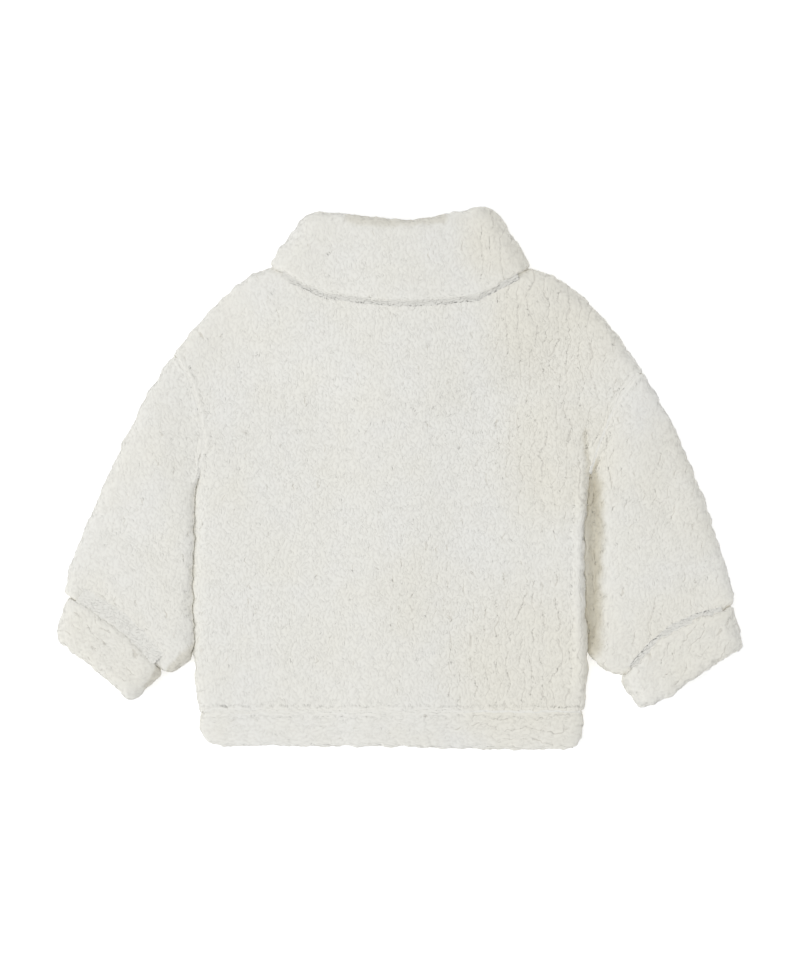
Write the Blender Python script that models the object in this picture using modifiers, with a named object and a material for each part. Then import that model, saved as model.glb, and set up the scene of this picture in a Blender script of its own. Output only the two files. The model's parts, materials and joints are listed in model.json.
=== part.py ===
"""Baby's sherpa jacket, laid out flat with its back up.

The garment lies as it does on a table: +X is the right of the picture, +Y points
to the collar and +Z up. Left and right are the wearer's, so with the back up the
wearer's left is at -X. Pile cloth is a thick wall, a backing with curly wool on
it. The two fronts lie on the table, the back lies on them, the sleeves are
flattened tubes beside the body, and the collar and the cuffs are folded bands.

Tables are in millimetres. MM turns them into metres when a mesh is made.
"""

import math

import bmesh
import bpy
import numpy as np

MM = 0.001

# ---- Driving sizes, in millimetres -------------------------------------------

WALL = 7.9            # pile cloth: knitted backing and curly pile together
GAP = 0.4             # left between pieces that are sewn or touch
NECK_GAP = 1.6        # the same at the neck seam, which the collar covers
SLIT = 0.6            # between the back and the fronts, and inside a sleeve
BODY_MID = 8.2        # height of the plane between the fronts and the back
HEM_SEAM_Y = -185.0   # where the hem band is sewn on
LIP = 3.5             # length over which a sewn edge rounds down into its seam
LIP_HEIGHT = 0.68     # height of a sewn edge at the seam, as a share of the wall
LIP_SHOULDER = 0.9    # and one step in from the seam, where the lip rounds over
EDGE_WALL = 0.8       # upright part of a rounded fold edge
FOLD_RADIUS = BODY_MID  # rounding of the body's side and shoulder edges
FOLD_SPREAD = 1.6     # a soft fold fades out at this many half widths

COLLAR_LIFT = 6.8     # how far the collar under the fronts lifts the body
COLLAR_FOLD = 7.0     # length of the collar's rounded fold
CUFF_WALL = 6.2       # cloth of a turned-back cuff, each of its two layers
CUFF_FOLD = 6.5       # length of a cuff's rounded fold
CUFF_SEAM_SHARE = 0.56  # where the sleeve is sewn inside the cuff, fold to edge
CUFF_SEAM_CLEAR = 0.03  # the sleeve ends this share short of that seam
CUFF_TIP_SHARE = 1.12   # the cuff's rounded free edge ends here on the same scale
CUFF_ROW_SHARE = 0.8    # and the sleeve has one more line across it here
LEAF_LINES = (0.66, 0.36)  # lines along the outside of a folded band's leaf
LEAF_INNER_LINE = 0.55     # and along its inside, as shares of its length
TIP_ANGLES = (-90, -45, 0, 45, 90)           # round a leaf's free edge
RIDGE_ANGLES = (90, 50, 15, -20, -55, -90)   # and round a band's fold

PLACKET_LAYER = 5.0   # cloth of each front where they overlap
PLACKET_HALF = 15.0   # overlap on each side of the centre front
PLACKET_SPARE = 4.0   # each front is thinned this much past the other's edge
PLACKET_BLEND = 13.0  # width over which a front thins into the overlap
PLACKET_RADIUS = 4.5  # rounding of a front's edge
CENTRE_RISE = 2.4     # the overlap lifts the middle of the body by this much
CENTRE_FADE = 42.0    # and the lift fades out over this width
NECK_POINT_Y = 138.4  # where the edges of the fronts meet the neck

BUTTON_DIAMETER = 18.0
BUTTON_THICKNESS = 2.4
BUTTON_RIM = 0.6      # bevel round each face
BUTTON_SIDES = 24
BUTTON_EDGE_ANGLE = 40.0  # degrees, the rim is shaded sharp above this
BUTTON_FLOOR = 0.3    # the pile holds the buttons this far above the table
BUTTON_ROWS_Y = (44.0, -20.0, -84.0, -148.0)
DIMPLE_DIAMETER = 20.4
DIMPLE_CUT = 2.0      # the dimple's cutter reaches this far below the table

PILE_COLOUR = (0.80, 0.79, 0.74, 1.0)
BUTTON_COLOUR = (0.74, 0.70, 0.62, 1.0)

# Heights above the middle of the flattened garment: the sewn layer of a folded
# band from its inside to its outside, then the leaf over it.
COLLAR_LAYERS = (
    SLIT / 2,
    SLIT / 2 + WALL,
    SLIT / 2 + WALL + 2 * GAP,
    BODY_MID + COLLAR_LIFT,
)
CUFF_LAYERS = (
    SLIT / 2,
    SLIT / 2 + CUFF_WALL,
    SLIT / 2 + CUFF_WALL + GAP,
    SLIT / 2 + 2 * CUFF_WALL + GAP,
)

# ---- Shapes, in millimetres --------------------------------------------------

# Side edges of the body, from the underarm to the hem seam.
SIDE = [
    # left_x, left_y, right_x, right_y
    (-160.8, 1.0, 152.5, 5.0),
    (-163.2, -48.0, 148.2, -48.0),
    (-164.0, -96.0, 149.0, -90.0),
    (-162.4, -140.0, 150.8, -137.0),
    (-160.4, -172.0, 151.0, -168.0),
    (-158.6, HEM_SEAM_Y, 148.4, HEM_SEAM_Y),
]

# Armhole seams, from the shoulder point to the underarm.
ARMHOLE = [
    # left_x, left_y, right_x, right_y
    (-178.8, 99.6, 194.4, 87.0),
    (-168.6, 84.5, 184.6, 76.0),
    (-162.0, 67.0, 174.6, 61.5),
    (-157.6, 51.0, 166.8, 44.5),
    (-155.0, 35.6, 161.6, 29.5),
    (-156.0, 18.0, 157.0, 17.0),
    (-160.8, 1.0, 152.5, 5.0),
]

# Shoulder edges, from the shoulder point to the neck point under the collar.
SHOULDER = [
    # left_x, left_y, right_x, right_y
    (-178.8, 99.6, 194.4, 87.0),
    (-168.2, 113.4, 176.2, 113.2),
    (-150.6, 133.2, 162.1, 130.8),
    (-128.4, 155.0, 146.0, 146.4),
    (-115.0, 164.8, 129.1, 160.8),
    (-103.0, 168.4, 114.5, 166.6),
    (-91.6, 168.8, 98.0, 165.2),
    (-68.4, 188.6, 70.4, 188.6),
]

# Collar, seen from the back: where it is sewn on, its fold and its lower edge.
COLLAR_BACK = [
    # seam_x, seam_y, fold_x, fold_y, edge_x, edge_y
    (-60.0, 189.0, -59.5, 212.0, -88.2, 166.3),
    (-44.0, 185.6, -45.0, 212.8, -59.0, 152.2),
    (-22.0, 182.6, -22.0, 208.8, -31.0, 148.0),
    (0.0, 181.6, 0.0, 206.0, 0.0, 145.0),
    (22.0, 182.6, 22.0, 208.0, 30.0, 146.4),
    (44.0, 185.6, 45.0, 212.6, 61.0, 149.5),
    (62.0, 189.0, 62.6, 216.2, 92.0, 166.0),
]

# The same collar on the front, from beside the neck to its point, on the
# wearer's left. The wearer's right is its mirror image.
COLLAR_FRONT = [
    # seam_x, seam_y, fold_x, fold_y, edge_x, edge_y
    (-58.5, 172.0, -47.0, 189.0, -84.0, 146.0),
    (-50.0, 155.0, -36.0, 171.0, -73.0, 126.0),
    (-34.0, 144.5, -25.0, 161.5, -57.0, 111.0),
    (-16.0, 140.0, -14.0, 156.5, -43.0, 103.0),
    (-1.6, 138.8, -2.5, 154.5, -31.0, 97.0),
]

# Way out of the folded collar at its two side turns: at the fold, at the edge.
COLLAR_TURNS = {
    # side: fold_out_x, fold_out_y, edge_out_x, edge_out_y
    "left": (-1.0, 0.0, -0.785, 0.62),
    "right": (1.0, 0.0, 0.88, 0.476),
}

# Sleeves, from below the armhole to the cuff: the outer edge, how far down the
# body the inner edge is and how clear of the body it runs, and the flattened
# tube's underside, thickness and soft rise along its middle.
SLEEVE_LEFT = [
    # outer_x, outer_y, inner_y, clear, base, thick, puff
    (-201.4, 66.8, -14.0, 0.0, 0.0, 17.0, 2.0),
    (-218.0, 31.6, -44.0, 0.0, 0.0, 17.6, 2.8),
    (-232.5, 0.0, -72.0, 0.0, 0.0, 17.6, 3.0),
    (-247.4, -34.0, -99.0, 0.0, 0.0, 17.6, 3.0),
    (-256.8, -56.0, -122.0, 0.0, 0.0, 17.6, 2.6),
    (-262.6, -74.0, -137.0, 0.4, 1.6, 17.2, 1.6),
    (-264.4, -84.0, -148.2, 9.0, 6.6, 13.0, 0.0),
    (-264.8, -90.0, -152.6, 20.0, 6.6, 13.0, 0.0),
]
SLEEVE_RIGHT = [
    # outer_x, outer_y, inner_y, clear, base, thick, puff
    (209.4, 62.0, -14.0, 0.0, 0.0, 16.0, 3.4),
    (222.4, 36.0, -40.0, 0.0, 0.0, 15.6, 4.2),
    (236.2, 6.0, -66.0, 0.0, 0.0, 15.0, 3.6),
    (247.8, -27.0, -92.0, 0.0, 0.0, 15.0, 3.8),
    (257.6, -55.0, -115.0, 0.0, 0.0, 15.4, 3.6),
    (264.4, -78.0, -134.0, 0.2, 1.4, 16.2, 2.4),
    (266.2, -90.0, -146.6, 7.2, 6.6, 13.0, 0.0),
    (267.0, -97.0, -154.6, 18.0, 6.6, 13.0, 0.0),
]

SLEEVES = {"left": SLEEVE_LEFT, "right": SLEEVE_RIGHT}

# Cuffs, from the outer side to the inner: their folded lower edge and the free
# edge that is turned back up the sleeve.
CUFF_LEFT = [
    # fold_x, fold_y, edge_x, edge_y
    (-263.0, -133.0, -253.6, -102.4),
    (-252.4, -142.4, -241.4, -110.4),
    (-240.8, -152.0, -228.4, -118.6),
    (-230.5, -161.4, -214.2, -132.2),
    (-220.5, -169.6, -200.4, -147.4),
]
CUFF_RIGHT = [
    # fold_x, fold_y, edge_x, edge_y
    (265.0, -139.4, 256.4, -110.4),
    (249.6, -148.4, 240.4, -114.6),
    (234.2, -159.4, 221.8, -122.6),
    (219.0, -170.4, 205.0, -136.8),
    (205.0, -177.8, 189.4, -154.4),
]

# Way out of each cuff at its outer and its inner side turn: at the fold and at the
# free edge.
CUFF_TURNS = {
    # side: two turns, each fold_out_x, fold_out_y, edge_out_x, edge_out_y
    "left": ((-0.95, 0.31, -0.92, 0.38), (0.66, -0.75, 0.74, -0.67)),
    "right": ((0.93, 0.37, 0.89, 0.46), (-0.85, -0.52, -0.82, -0.57)),
}

# Lower edge of the hem band: on the back, and of the fronts where they show.
HEM = [
    # x, back_y, front_y
    (-158.6, -211.4, -211.6),
    (-80.0, -212.2, -212.4),
    (9.0, -212.8, -213.4),
    (13.0, -213.0, -214.8),
    (80.0, -214.0, -215.6),
    (148.4, -214.6, -216.4),
]
HEM_CORNER = 12.0     # radius of the band's lower corners
UNDERLAP_RISE = 2.6   # the hidden end of the lower front is shorter by this much
HEM_ROUND = 4.0       # height over which the band's lower edge rounds over
HEM_ROUND_STEP = 1.2  # one more line in that rounding
HEM_ROUND_SHARE = 0.86  # and the share of the thickness that it is at

# Soft folds: a line on the cloth, its half width and its height (a trough is
# below zero).
BACK_FOLDS = [
    # x0, y0, x1, y1, half_width, height
    (118.0, 60.0, 138.0, -20.0, 16.0, 0.9),
    (136.0, -30.0, 138.0, -150.0, 13.0, 1.2),
    (-150.0, 30.0, -138.0, -40.0, 15.0, 0.8),
    (-128.0, 118.0, -60.0, 100.0, 18.0, -0.8),
    (70.0, 118.0, 132.0, 100.0, 18.0, -0.8),
]
SLEEVE_FOLDS = {
    # side: rows of x0, y0, x1, y1, half_width, height
    "left": [
        (-190.0, 40.0, -196.0, 0.0, 14.0, 1.2),
        (-232.0, -44.0, -186.0, -60.0, 11.0, -1.0),
        (-246.0, -88.0, -196.0, -120.0, 9.0, -1.2),
    ],
    "right": [
        (178.0, 46.0, 190.0, 12.0, 15.0, 1.8),
        (172.0, -10.0, 214.0, -30.0, 11.0, -1.5),
        (236.0, -80.0, 238.0, -104.0, 5.0, -1.6),
        (156.5, 6.0, 154.5, -128.0, 8.0, -5.0),
    ],
}

# Spacing of the mesh lines.
FOLD_STEPS = (0.0, 0.9, 3.2, FOLD_RADIUS)  # from a fold edge inwards, millimetres
SEAM_STEPS = (0.0, 1.1, LIP)          # from a sewn edge inwards, millimetres
TOP_STEPS = (0.0, 1.2, 4.2, 10.0)     # from the shoulder and neck down, millimetres
PLACKET_STEPS = (0.0, 1.3, 4.5, 14.0, 22.0, 30.0, 36.0, 42.0, 50.0)  # from a front's edge
BACK_WIDTH = 330.0                    # mean sizes of the panels, for their lines
FRONT_WIDTH = 182.0
BODY_HEIGHT = 320.0
BACK_LINES = 20                       # lines across the even part of the back
FRONT_LINES = 7                       # and of each front
ROWS_BELOW = 8                        # rows of a panel below the underarm
ROWS_ABOVE = 10                       # and above it
HEM_FRONT_LEFT = 15                   # lines along the hem band: its left front,
HEM_BACK = 24                         # the back,
HEM_FRONT_RIGHT = 12                  # the right front where it shows
HEM_UNDERLAP = 5                      # and where the other front covers it
HEM_LAP_STEPS = (1.5, -0.5)           # from the upper front's end to the nearest two
RING_STEPS = (0.0, 0.12, 0.45, 1.0)   # from a sleeve's edge, as shares of its fold
RING_MIDDLE = 5                       # lines along the flat of a sleeve
TURN_ANGLES = (90.0, 54.0, 18.0, -18.0, -54.0, -90.0)


# ---- Plan curves -------------------------------------------------------------

def smooth_rows(rows, steps):
    """Rows on a smooth curve through the given rows, steps to each stretch."""
    rows = np.array(rows, dtype=float)
    ends = np.vstack([2 * rows[0] - rows[1], rows, 2 * rows[-1] - rows[-2]])
    result = []
    for index in range(len(rows) - 1):
        a, b, c, d = ends[index:index + 4]
        for step in range(steps):
            t = step / steps
            result.append(0.5 * (2 * b + (c - a) * t + (2 * a - 5 * b + 4 * c - d) * t ** 2
                                 + (3 * b - a - 3 * c + d) * t ** 3))
    result.append(rows[-1])
    return np.array(result)


def side_path(table, side, steps=10):
    """One side's points of a table with left and right columns, smoothed."""
    first = 0 if side == "left" else 2
    return smooth_rows([row[first:first + 2] for row in table], steps)


def point_on(path, share):
    """The point at a share of a path's length; share may be an array."""
    lengths = np.hypot(*np.diff(path, axis=0).T)
    along = np.concatenate([[0.0], np.cumsum(lengths)]) / lengths.sum()
    share = np.clip(share, 0.0, 1.0)
    return np.stack([np.interp(share, along, path[:, 0]),
                     np.interp(share, along, path[:, 1])], axis=-1)


def moved_sideways(path, distance):
    """A path moved to its left by a distance, seen along its direction."""
    way = np.gradient(path, axis=0)
    way /= np.linalg.norm(way, axis=1)[:, None]
    return path + distance * np.stack([-way[:, 1], way[:, 0]], axis=-1)


def boundary(parts, breaks):
    """One side of a panel made of several paths, which meet at given shares."""
    def at(share):
        for path, start, end in zip(parts, breaks, breaks[1:]):
            if share <= end:
                return point_on(path, (share - start) / (end - start))
        return point_on(parts[-1], 1.0)
    return at


def distance_to(path, points):
    """Shortest distance from each point to a path."""
    best = np.full(points.shape[:-1], 1e9)
    for start, end in zip(path[:-1], path[1:]):
        way = end - start
        share = np.clip(((points - start) @ way) / (way @ way), 0.0, 1.0)
        foot = start + share[..., None] * way
        best = np.minimum(best, np.linalg.norm(points - foot, axis=-1))
    return best


def ease(value):
    """A soft step from 0 to 1."""
    value = np.clip(value, 0.0, 1.0)
    return value * value * (3.0 - 2.0 * value)


def rounding(distance, radius):
    """Share of the full height at a distance inside a rounded edge."""
    inside = 1.0 - np.clip(distance / radius, 0.0, 1.0)
    return np.sqrt(1.0 - inside * inside)


def soft_folds(table, x, y):
    """Height that a table of soft folds adds at a place."""
    place = np.stack([x, y], axis=-1)
    total = np.zeros(np.shape(x))
    for x0, y0, x1, y1, half_width, height in table:
        line = np.array([[x0, y0], [x1, y1]])
        away = distance_to(line, place) / half_width
        total = total + height * ease(1.0 - away / FOLD_SPREAD)
    return total


# ---- Heights of the layers ---------------------------------------------------

CENTRE_X = {"neck": 1.0, "neck_y": 139.0, "hem": -4.6, "hem_y": -213.0}
COLLAR_AREA = {"x": 0.0, "y": 175.0, "half_x": 99.0, "half_y": 83.0}
COLLAR_AREA_EDGE = 1.1     # the body is lifted fully out to this reach
COLLAR_AREA_FADE = 0.45    # and comes down to the table over this much more
COLLAR_AREA_ROOM = 0.9     # the layers part a little where they bend


def centre_front(y):
    """Where the centre front line crosses a height of the body."""
    share = (y - CENTRE_X["hem_y"]) / (CENTRE_X["neck_y"] - CENTRE_X["hem_y"])
    return CENTRE_X["hem"] + share * (CENTRE_X["neck"] - CENTRE_X["hem"])


def collar_lift(x, y):
    """1 over the collar leaf that lies under the fronts, falling to 0 round it."""
    reach = np.hypot((x - COLLAR_AREA["x"]) / COLLAR_AREA["half_x"],
                     (y - COLLAR_AREA["y"]) / COLLAR_AREA["half_y"])
    return ease((COLLAR_AREA_EDGE + COLLAR_AREA_FADE - reach) / COLLAR_AREA_FADE)


def bend_room(x, y):
    """Extra room on each side of a layer where the body rises over the collar."""
    lift = collar_lift(x, y)
    return COLLAR_AREA_ROOM * 4 * lift * (1 - lift)


def mid_height(x, y):
    """Height of the plane between the fronts and the back."""
    offset = np.abs(x - centre_front(y)) - PLACKET_HALF
    rise = CENTRE_RISE * ease(1.0 - offset / CENTRE_FADE)
    return BODY_MID + COLLAR_LIFT * collar_lift(x, y) + rise


def front_base(x, y):
    """Underside of the body: on the table, or on the collar leaf under it."""
    share = COLLAR_LIFT / (BODY_MID + COLLAR_LIFT)
    return collar_lift(x, y) * mid_height(x, y) * share


def front_layer(side, x, y):
    """Bottom and top of one front. The left front lies under the right one."""
    base = front_base(x, y)
    room = bend_room(x, y)
    top = mid_height(x, y) - SLIT / 2 - room
    offset = x - centre_front(y) if side == "left" else centre_front(y) - x
    over = ease((offset + PLACKET_HALF + PLACKET_SPARE + PLACKET_BLEND) / PLACKET_BLEND)
    if side == "left":
        return base, top + over * (base + PLACKET_LAYER - room - top)
    return base + over * (PLACKET_LAYER + GAP + room), top


# ---- Mesh helpers ------------------------------------------------------------

def pile_material(name):
    """Off-white pile cloth, matt with a soft sheen."""
    material = bpy.data.materials.new(name)
    material.use_nodes = True
    surface = material.node_tree.nodes["Principled BSDF"]
    surface.inputs["Base Color"].default_value = PILE_COLOUR
    surface.inputs["Roughness"].default_value = 0.95
    surface.inputs["Sheen Weight"].default_value = 0.4
    return material


def button_material():
    """Plain bone-coloured plastic."""
    material = bpy.data.materials.new("button_plastic")
    material.use_nodes = True
    surface = material.node_tree.nodes["Principled BSDF"]
    surface.inputs["Base Color"].default_value = BUTTON_COLOUR
    surface.inputs["Roughness"].default_value = 0.45
    return material


def add_object(name, bm, material):
    """Turn a bmesh in millimetres into a closed, smooth object in metres."""
    bmesh.ops.scale(bm, vec=(MM, MM, MM), verts=bm.verts)
    bmesh.ops.recalc_face_normals(bm, faces=bm.faces)
    mesh = bpy.data.meshes.new(name)
    bm.to_mesh(mesh)
    bm.free()
    mesh.shade_smooth()
    mesh.materials.append(material)
    item = bpy.data.objects.new(name, mesh)
    jacket.objects.link(item)
    return item


def skin_between(bm, first, second, closed):
    """Quads between two rows of vertices of the same length."""
    count = len(first)
    for index in range(count if closed else count - 1):
        after = (index + 1) % count
        bm.faces.new((first[index], first[after], second[after], second[index]))


def add_rings(name, rings, closed, material):
    """A body lofted through rings of points; its ends are capped if it is open."""
    bm = bmesh.new()
    rows = [[bm.verts.new(point) for point in ring] for ring in rings]
    for first, second in zip(rows, rows[1:]):
        skin_between(bm, first, second, closed=True)
    if closed:
        skin_between(bm, rows[-1], rows[0], closed=True)
    else:
        bm.faces.new(rows[0])
        bm.faces.new(rows[-1])
    return add_object(name, bm, material)


# ---- Panels: the back and the two fronts -------------------------------------

def grid_shares(steps_start, steps_end, length, count):
    """Shares of a length: close together at both edges and even between them."""
    start = [step / length for step in steps_start]
    end = [1.0 - step / length for step in reversed(steps_end)]
    middle = np.linspace(start[-1], end[0], count + 2)[1:-1]
    return np.concatenate([start, middle, end])


def add_panel(name, sides, shares, fold_edges, seam_edges, layer, upward):
    """A panel between four sides. Its outer face is rounded at its edges and its
    inner face is plain; upward says which of the two is on top."""
    left, right, bottom, top = sides
    across, along = shares
    plan = np.zeros((len(along), len(across), 2))
    for row, v in enumerate(along):
        for column, u in enumerate(across):
            straight = (1 - v) * bottom(u) + v * top(u) + (1 - u) * left(v) + u * right(v)
            corners = ((1 - u) * (1 - v) * bottom(0) + u * (1 - v) * bottom(1)
                       + (1 - u) * v * top(0) + u * v * top(1))
            plan[row, column] = straight - corners
    full = np.ones(plan.shape[:2])
    for path, radius in fold_edges:
        full *= rounding(distance_to(path, plan), radius)
    for path in seam_edges:
        full *= LIP_HEIGHT + (1 - LIP_HEIGHT) * rounding(distance_to(path, plan), LIP)
    low, high = layer(plan[..., 0], plan[..., 1])
    if upward:
        inner, outer = low, low + EDGE_WALL + (high - low - EDGE_WALL) * full
    else:
        inner, outer = high, high - EDGE_WALL - (high - low - EDGE_WALL) * full
    bm = bmesh.new()
    faces = []
    for heights in (inner, outer):
        rows = [[bm.verts.new((*plan[row, column], heights[row, column]))
                 for column in range(len(across))] for row in range(len(along))]
        for first, second in zip(rows, rows[1:]):
            skin_between(bm, first, second, closed=False)
        faces.append(rows)
    rims = [rows[0] + [row[-1] for row in rows[1:]] + rows[-1][-2::-1]
            + [row[0] for row in rows[-2:0:-1]] for rows in faces]
    skin_between(bm, rims[0], rims[1], closed=True)
    return add_object(name, bm, pile_material(name + "_pile"))


def body_sides(side):
    """Paths that bound the body on one side, from the hem up."""
    return {
        "side": side_path(SIDE, side)[::-1],
        "armhole": side_path(ARMHOLE, side)[::-1],
        "shoulder": side_path(SHOULDER, side),
    }


def straight(start, end):
    """A straight path."""
    return np.array([start, end], dtype=float)


def neck_row(row):
    """The sewn edge in a row of a collar table."""
    return row[0], row[1]


def mirrored(row):
    """A row of a collar table on the other side of the wearer."""
    return tuple(-value if index % 2 == 0 else value for index, value in enumerate(row))


LEFT = body_sides("left")
RIGHT = body_sides("right")
UNDERARM_SHARE = 0.64           # share of a panel's height at the underarm
NECK_SHARES = (0.31, 0.69)      # shares of the back's width beside the neck
FRONT_NECK_SHARE = 0.56         # share of a front's width beside the neck


def back_layer(x, y):
    """Bottom and top of the back."""
    low = mid_height(x, y) + SLIT / 2 + bend_room(x, y)
    return low, low + WALL + (1 - collar_lift(x, y)) * soft_folds(BACK_FOLDS, x, y)


def body_rows():
    """Rows of a panel: even beside the body, closer beside the armhole."""
    start = [step / BODY_HEIGHT for step in SEAM_STEPS]
    end = [1.0 - step / BODY_HEIGHT for step in reversed(TOP_STEPS)]
    below = np.linspace(start[-1], UNDERARM_SHARE, ROWS_BELOW + 1)[1:]
    above = np.linspace(UNDERARM_SHARE, end[0], ROWS_ABOVE + 1)[1:-1]
    return np.concatenate([start, below, above, end])


def add_back():
    """The back: one panel from the shoulders and neck to the hem seam."""
    seam = [(LEFT["shoulder"][-1])] + [neck_row(row) for row in COLLAR_BACK[1:-1]]
    neck = moved_sideways(smooth_rows(seam + [RIGHT["shoulder"][-1]], 8), -NECK_GAP)
    neck[0] = LEFT["shoulder"][-1]
    neck[-1] = RIGHT["shoulder"][-1]
    hem = straight(LEFT["side"][0], RIGHT["side"][0])
    sides = (
        boundary([LEFT["side"], LEFT["armhole"]], [0.0, UNDERARM_SHARE, 1.0]),
        boundary([RIGHT["side"], RIGHT["armhole"]], [0.0, UNDERARM_SHARE, 1.0]),
        boundary([hem], [0.0, 1.0]),
        boundary([LEFT["shoulder"], neck, RIGHT["shoulder"][::-1]], [0.0, *NECK_SHARES, 1.0]),
    )
    across = grid_shares(FOLD_STEPS, FOLD_STEPS, BACK_WIDTH, BACK_LINES)
    along = body_rows()
    folds = [(body[name], FOLD_RADIUS) for body in (LEFT, RIGHT) for name in ("side", "shoulder")]
    seams = [LEFT["armhole"], RIGHT["armhole"], neck, hem]
    return add_panel("back", sides, (across, along), folds, seams, back_layer, upward=True)


def add_front(side):
    """One front, from its side and shoulder to past the centre front."""
    body = LEFT if side == "left" else RIGHT
    sign = 1.0 if side == "left" else -1.0
    table = [row if side == "left" else mirrored(row) for row in COLLAR_FRONT]
    neck_end = (centre_front(NECK_POINT_Y) + sign * PLACKET_HALF, NECK_POINT_Y)
    hem_end = (centre_front(HEM_SEAM_Y) + sign * PLACKET_HALF, HEM_SEAM_Y)
    seam = [body["shoulder"][-1]] + [neck_row(row) for row in table] + [neck_end]
    neck = moved_sideways(smooth_rows(seam, 8), -sign * NECK_GAP)
    neck[0] = body["shoulder"][-1]
    edge = straight(hem_end, neck[-1])
    hem = straight(body["side"][0], hem_end)
    sides = (
        boundary([body["side"], body["armhole"]], [0.0, UNDERARM_SHARE, 1.0]),
        boundary([edge], [0.0, 1.0]),
        boundary([hem], [0.0, 1.0]),
        boundary([body["shoulder"], neck], [0.0, FRONT_NECK_SHARE, 1.0]),
    )
    across = grid_shares(FOLD_STEPS, PLACKET_STEPS, FRONT_WIDTH, FRONT_LINES)
    along = body_rows()
    folds = [
        (body["side"], FOLD_RADIUS),
        (body["shoulder"], FOLD_RADIUS),
        (edge, PLACKET_RADIUS),
    ]
    seams = [body["armhole"], neck, hem]

    def layer(x, y):
        return front_layer(side, x, y)

    name = "front_" + side
    return add_panel(name, sides, (across, along), folds, seams, layer, upward=False)


# ---- Sleeves -----------------------------------------------------------------

def body_edge_x(side, y):
    """Where the body's side edge is at a height."""
    path = (LEFT if side == "left" else RIGHT)["side"]
    return np.interp(y, path[:, 1], path[:, 0])


def cuff_row(side, share):
    """A line across the cuff at a share of the way from its fold to its free edge."""
    table = CUFF_LEFT if side == "left" else CUFF_RIGHT
    return np.array([[row[0] + (row[2] - row[0]) * share, row[1] + (row[3] - row[1]) * share]
                     for row in table])


def cuff_mouth(side, share):
    """Outer and inner end of the flattened sleeve at that line of the cuff."""
    line = cuff_row(side, share)
    ends = []
    for point, turn in zip((line[0], line[-1]), CUFF_TURNS[side]):
        out = np.array(turn[:2]) * (1 - share) + np.array(turn[2:]) * share
        ends.append(point + out * CUFF_LAYERS[1])
    return ends


def bow(path, share):
    """How far a path bends away from the straight line between its ends."""
    return point_on(path, share) - (path[0] + share[:, None] * (path[-1] - path[0]))


def sleeve_lines(side, armhole):
    """Rows of numbers from the armhole to the cuff: outer point, inner point,
    underside, thickness, rise, and how much of the armhole's and the cuff's bow."""
    sign = 1.0 if side == "left" else -1.0
    rows = [(*armhole[0], *armhole[-1], 0.0, 2 * BODY_MID, 0.0, 1.0, 0.0)]
    for outer_x, outer_y, inner_y, clear, base, thick, puff in SLEEVES[side]:
        inner_x = body_edge_x(side, inner_y) - sign * (GAP + clear)
        rows.append((outer_x, outer_y, inner_x, inner_y, base, thick, puff, 0.0, 0.0))
    under = CUFF_LAYERS[3] - CUFF_LAYERS[1]
    for share in (CUFF_TIP_SHARE, CUFF_ROW_SHARE, CUFF_SEAM_SHARE + CUFF_SEAM_CLEAR):
        outer, inner = cuff_mouth(side, share)
        rows.append((*outer, *inner, under, 2 * CUFF_LAYERS[1], 0.0, 0.0, 1.0))
    lines = smooth_rows(rows, 2)
    lines[:, 4] = np.maximum(lines[:, 4], 0.0)
    step_to_next = np.linalg.norm(lines[1, 0:2] - lines[0, 0:2])
    lip = [lines[0] + (lines[1] - lines[0]) * step / step_to_next for step in SEAM_STEPS[1:]]
    return np.vstack([lines[:1], lip, lines[1:]])


def sleeve_ring(side, line, bows, inset, hollow):
    """One ring of the sleeve: its outside, or the flat slit inside it."""
    outer, inner = line[0:2], line[2:4]
    base, thick, puff = line[4:7]
    width = np.linalg.norm(inner - outer)
    steps = np.array(RING_STEPS) * thick / 2 / width
    middle = np.linspace(steps[-1], 1 - steps[-1], RING_MIDDLE + 2)[1:-1]
    shares = np.concatenate([steps, middle, 1 - steps[::-1]])
    margin = WALL / width if hollow else inset / width
    place = margin + shares * (1 - 2 * margin)
    plan = outer + place[:, None] * (inner - outer)
    for path, weight in zip(bows, line[7:9]):
        plan = plan + weight * bow(path, place)
    full = rounding(np.minimum(shares, 1 - shares) * width, thick / 2)
    if hollow:
        rise = fall = full * SLIT / 2
    else:
        fall = full * (thick / 2 - inset)
        crown = puff * 4 * shares * (1 - shares)
        folds = ease(puff) * soft_folds(SLEEVE_FOLDS[side], plan[:, 0], plan[:, 1])
        rise = fall + full * (crown + folds)
    mid = base + thick / 2
    upper = [(*point, mid + height) for point, height in zip(plan, rise)]
    lower = [(*point, mid - height) for point, height in zip(plan, fall)]
    return upper + lower[-2:0:-1]


def add_sleeve(side):
    """A flattened tube from the armhole into the cuff, open at both ends."""
    sign = 1.0 if side == "left" else -1.0
    body = LEFT if side == "left" else RIGHT
    armhole = moved_sideways(body["armhole"], sign * GAP)[::-1]
    share = CUFF_SEAM_SHARE + CUFF_SEAM_CLEAR
    outer, inner = cuff_mouth(side, share)
    cuff_line = np.vstack([[outer], smooth_rows(cuff_row(side, share), 4), [inner]])
    bows = (armhole, cuff_line)
    outside, inside = [], []
    for index, line in enumerate(sleeve_lines(side, armhole)):
        lip = rounding(SEAM_STEPS[index], LIP) if index < len(SEAM_STEPS) else 1.0
        inset = (1 - LIP_HEIGHT) * WALL * (1 - lip)
        outside.append(sleeve_ring(side, line, bows, inset, hollow=False))
        inside.append(sleeve_ring(side, line, bows, inset, hollow=True))
    name = "sleeve_" + side
    rings = outside + [inside[-1]] + inside[-3:0:-3] + [inside[0]]
    return add_rings(name, rings, closed=True, material=pile_material(name + "_pile"))


# ---- Folded bands: the collar and the cuffs ----------------------------------

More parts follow.
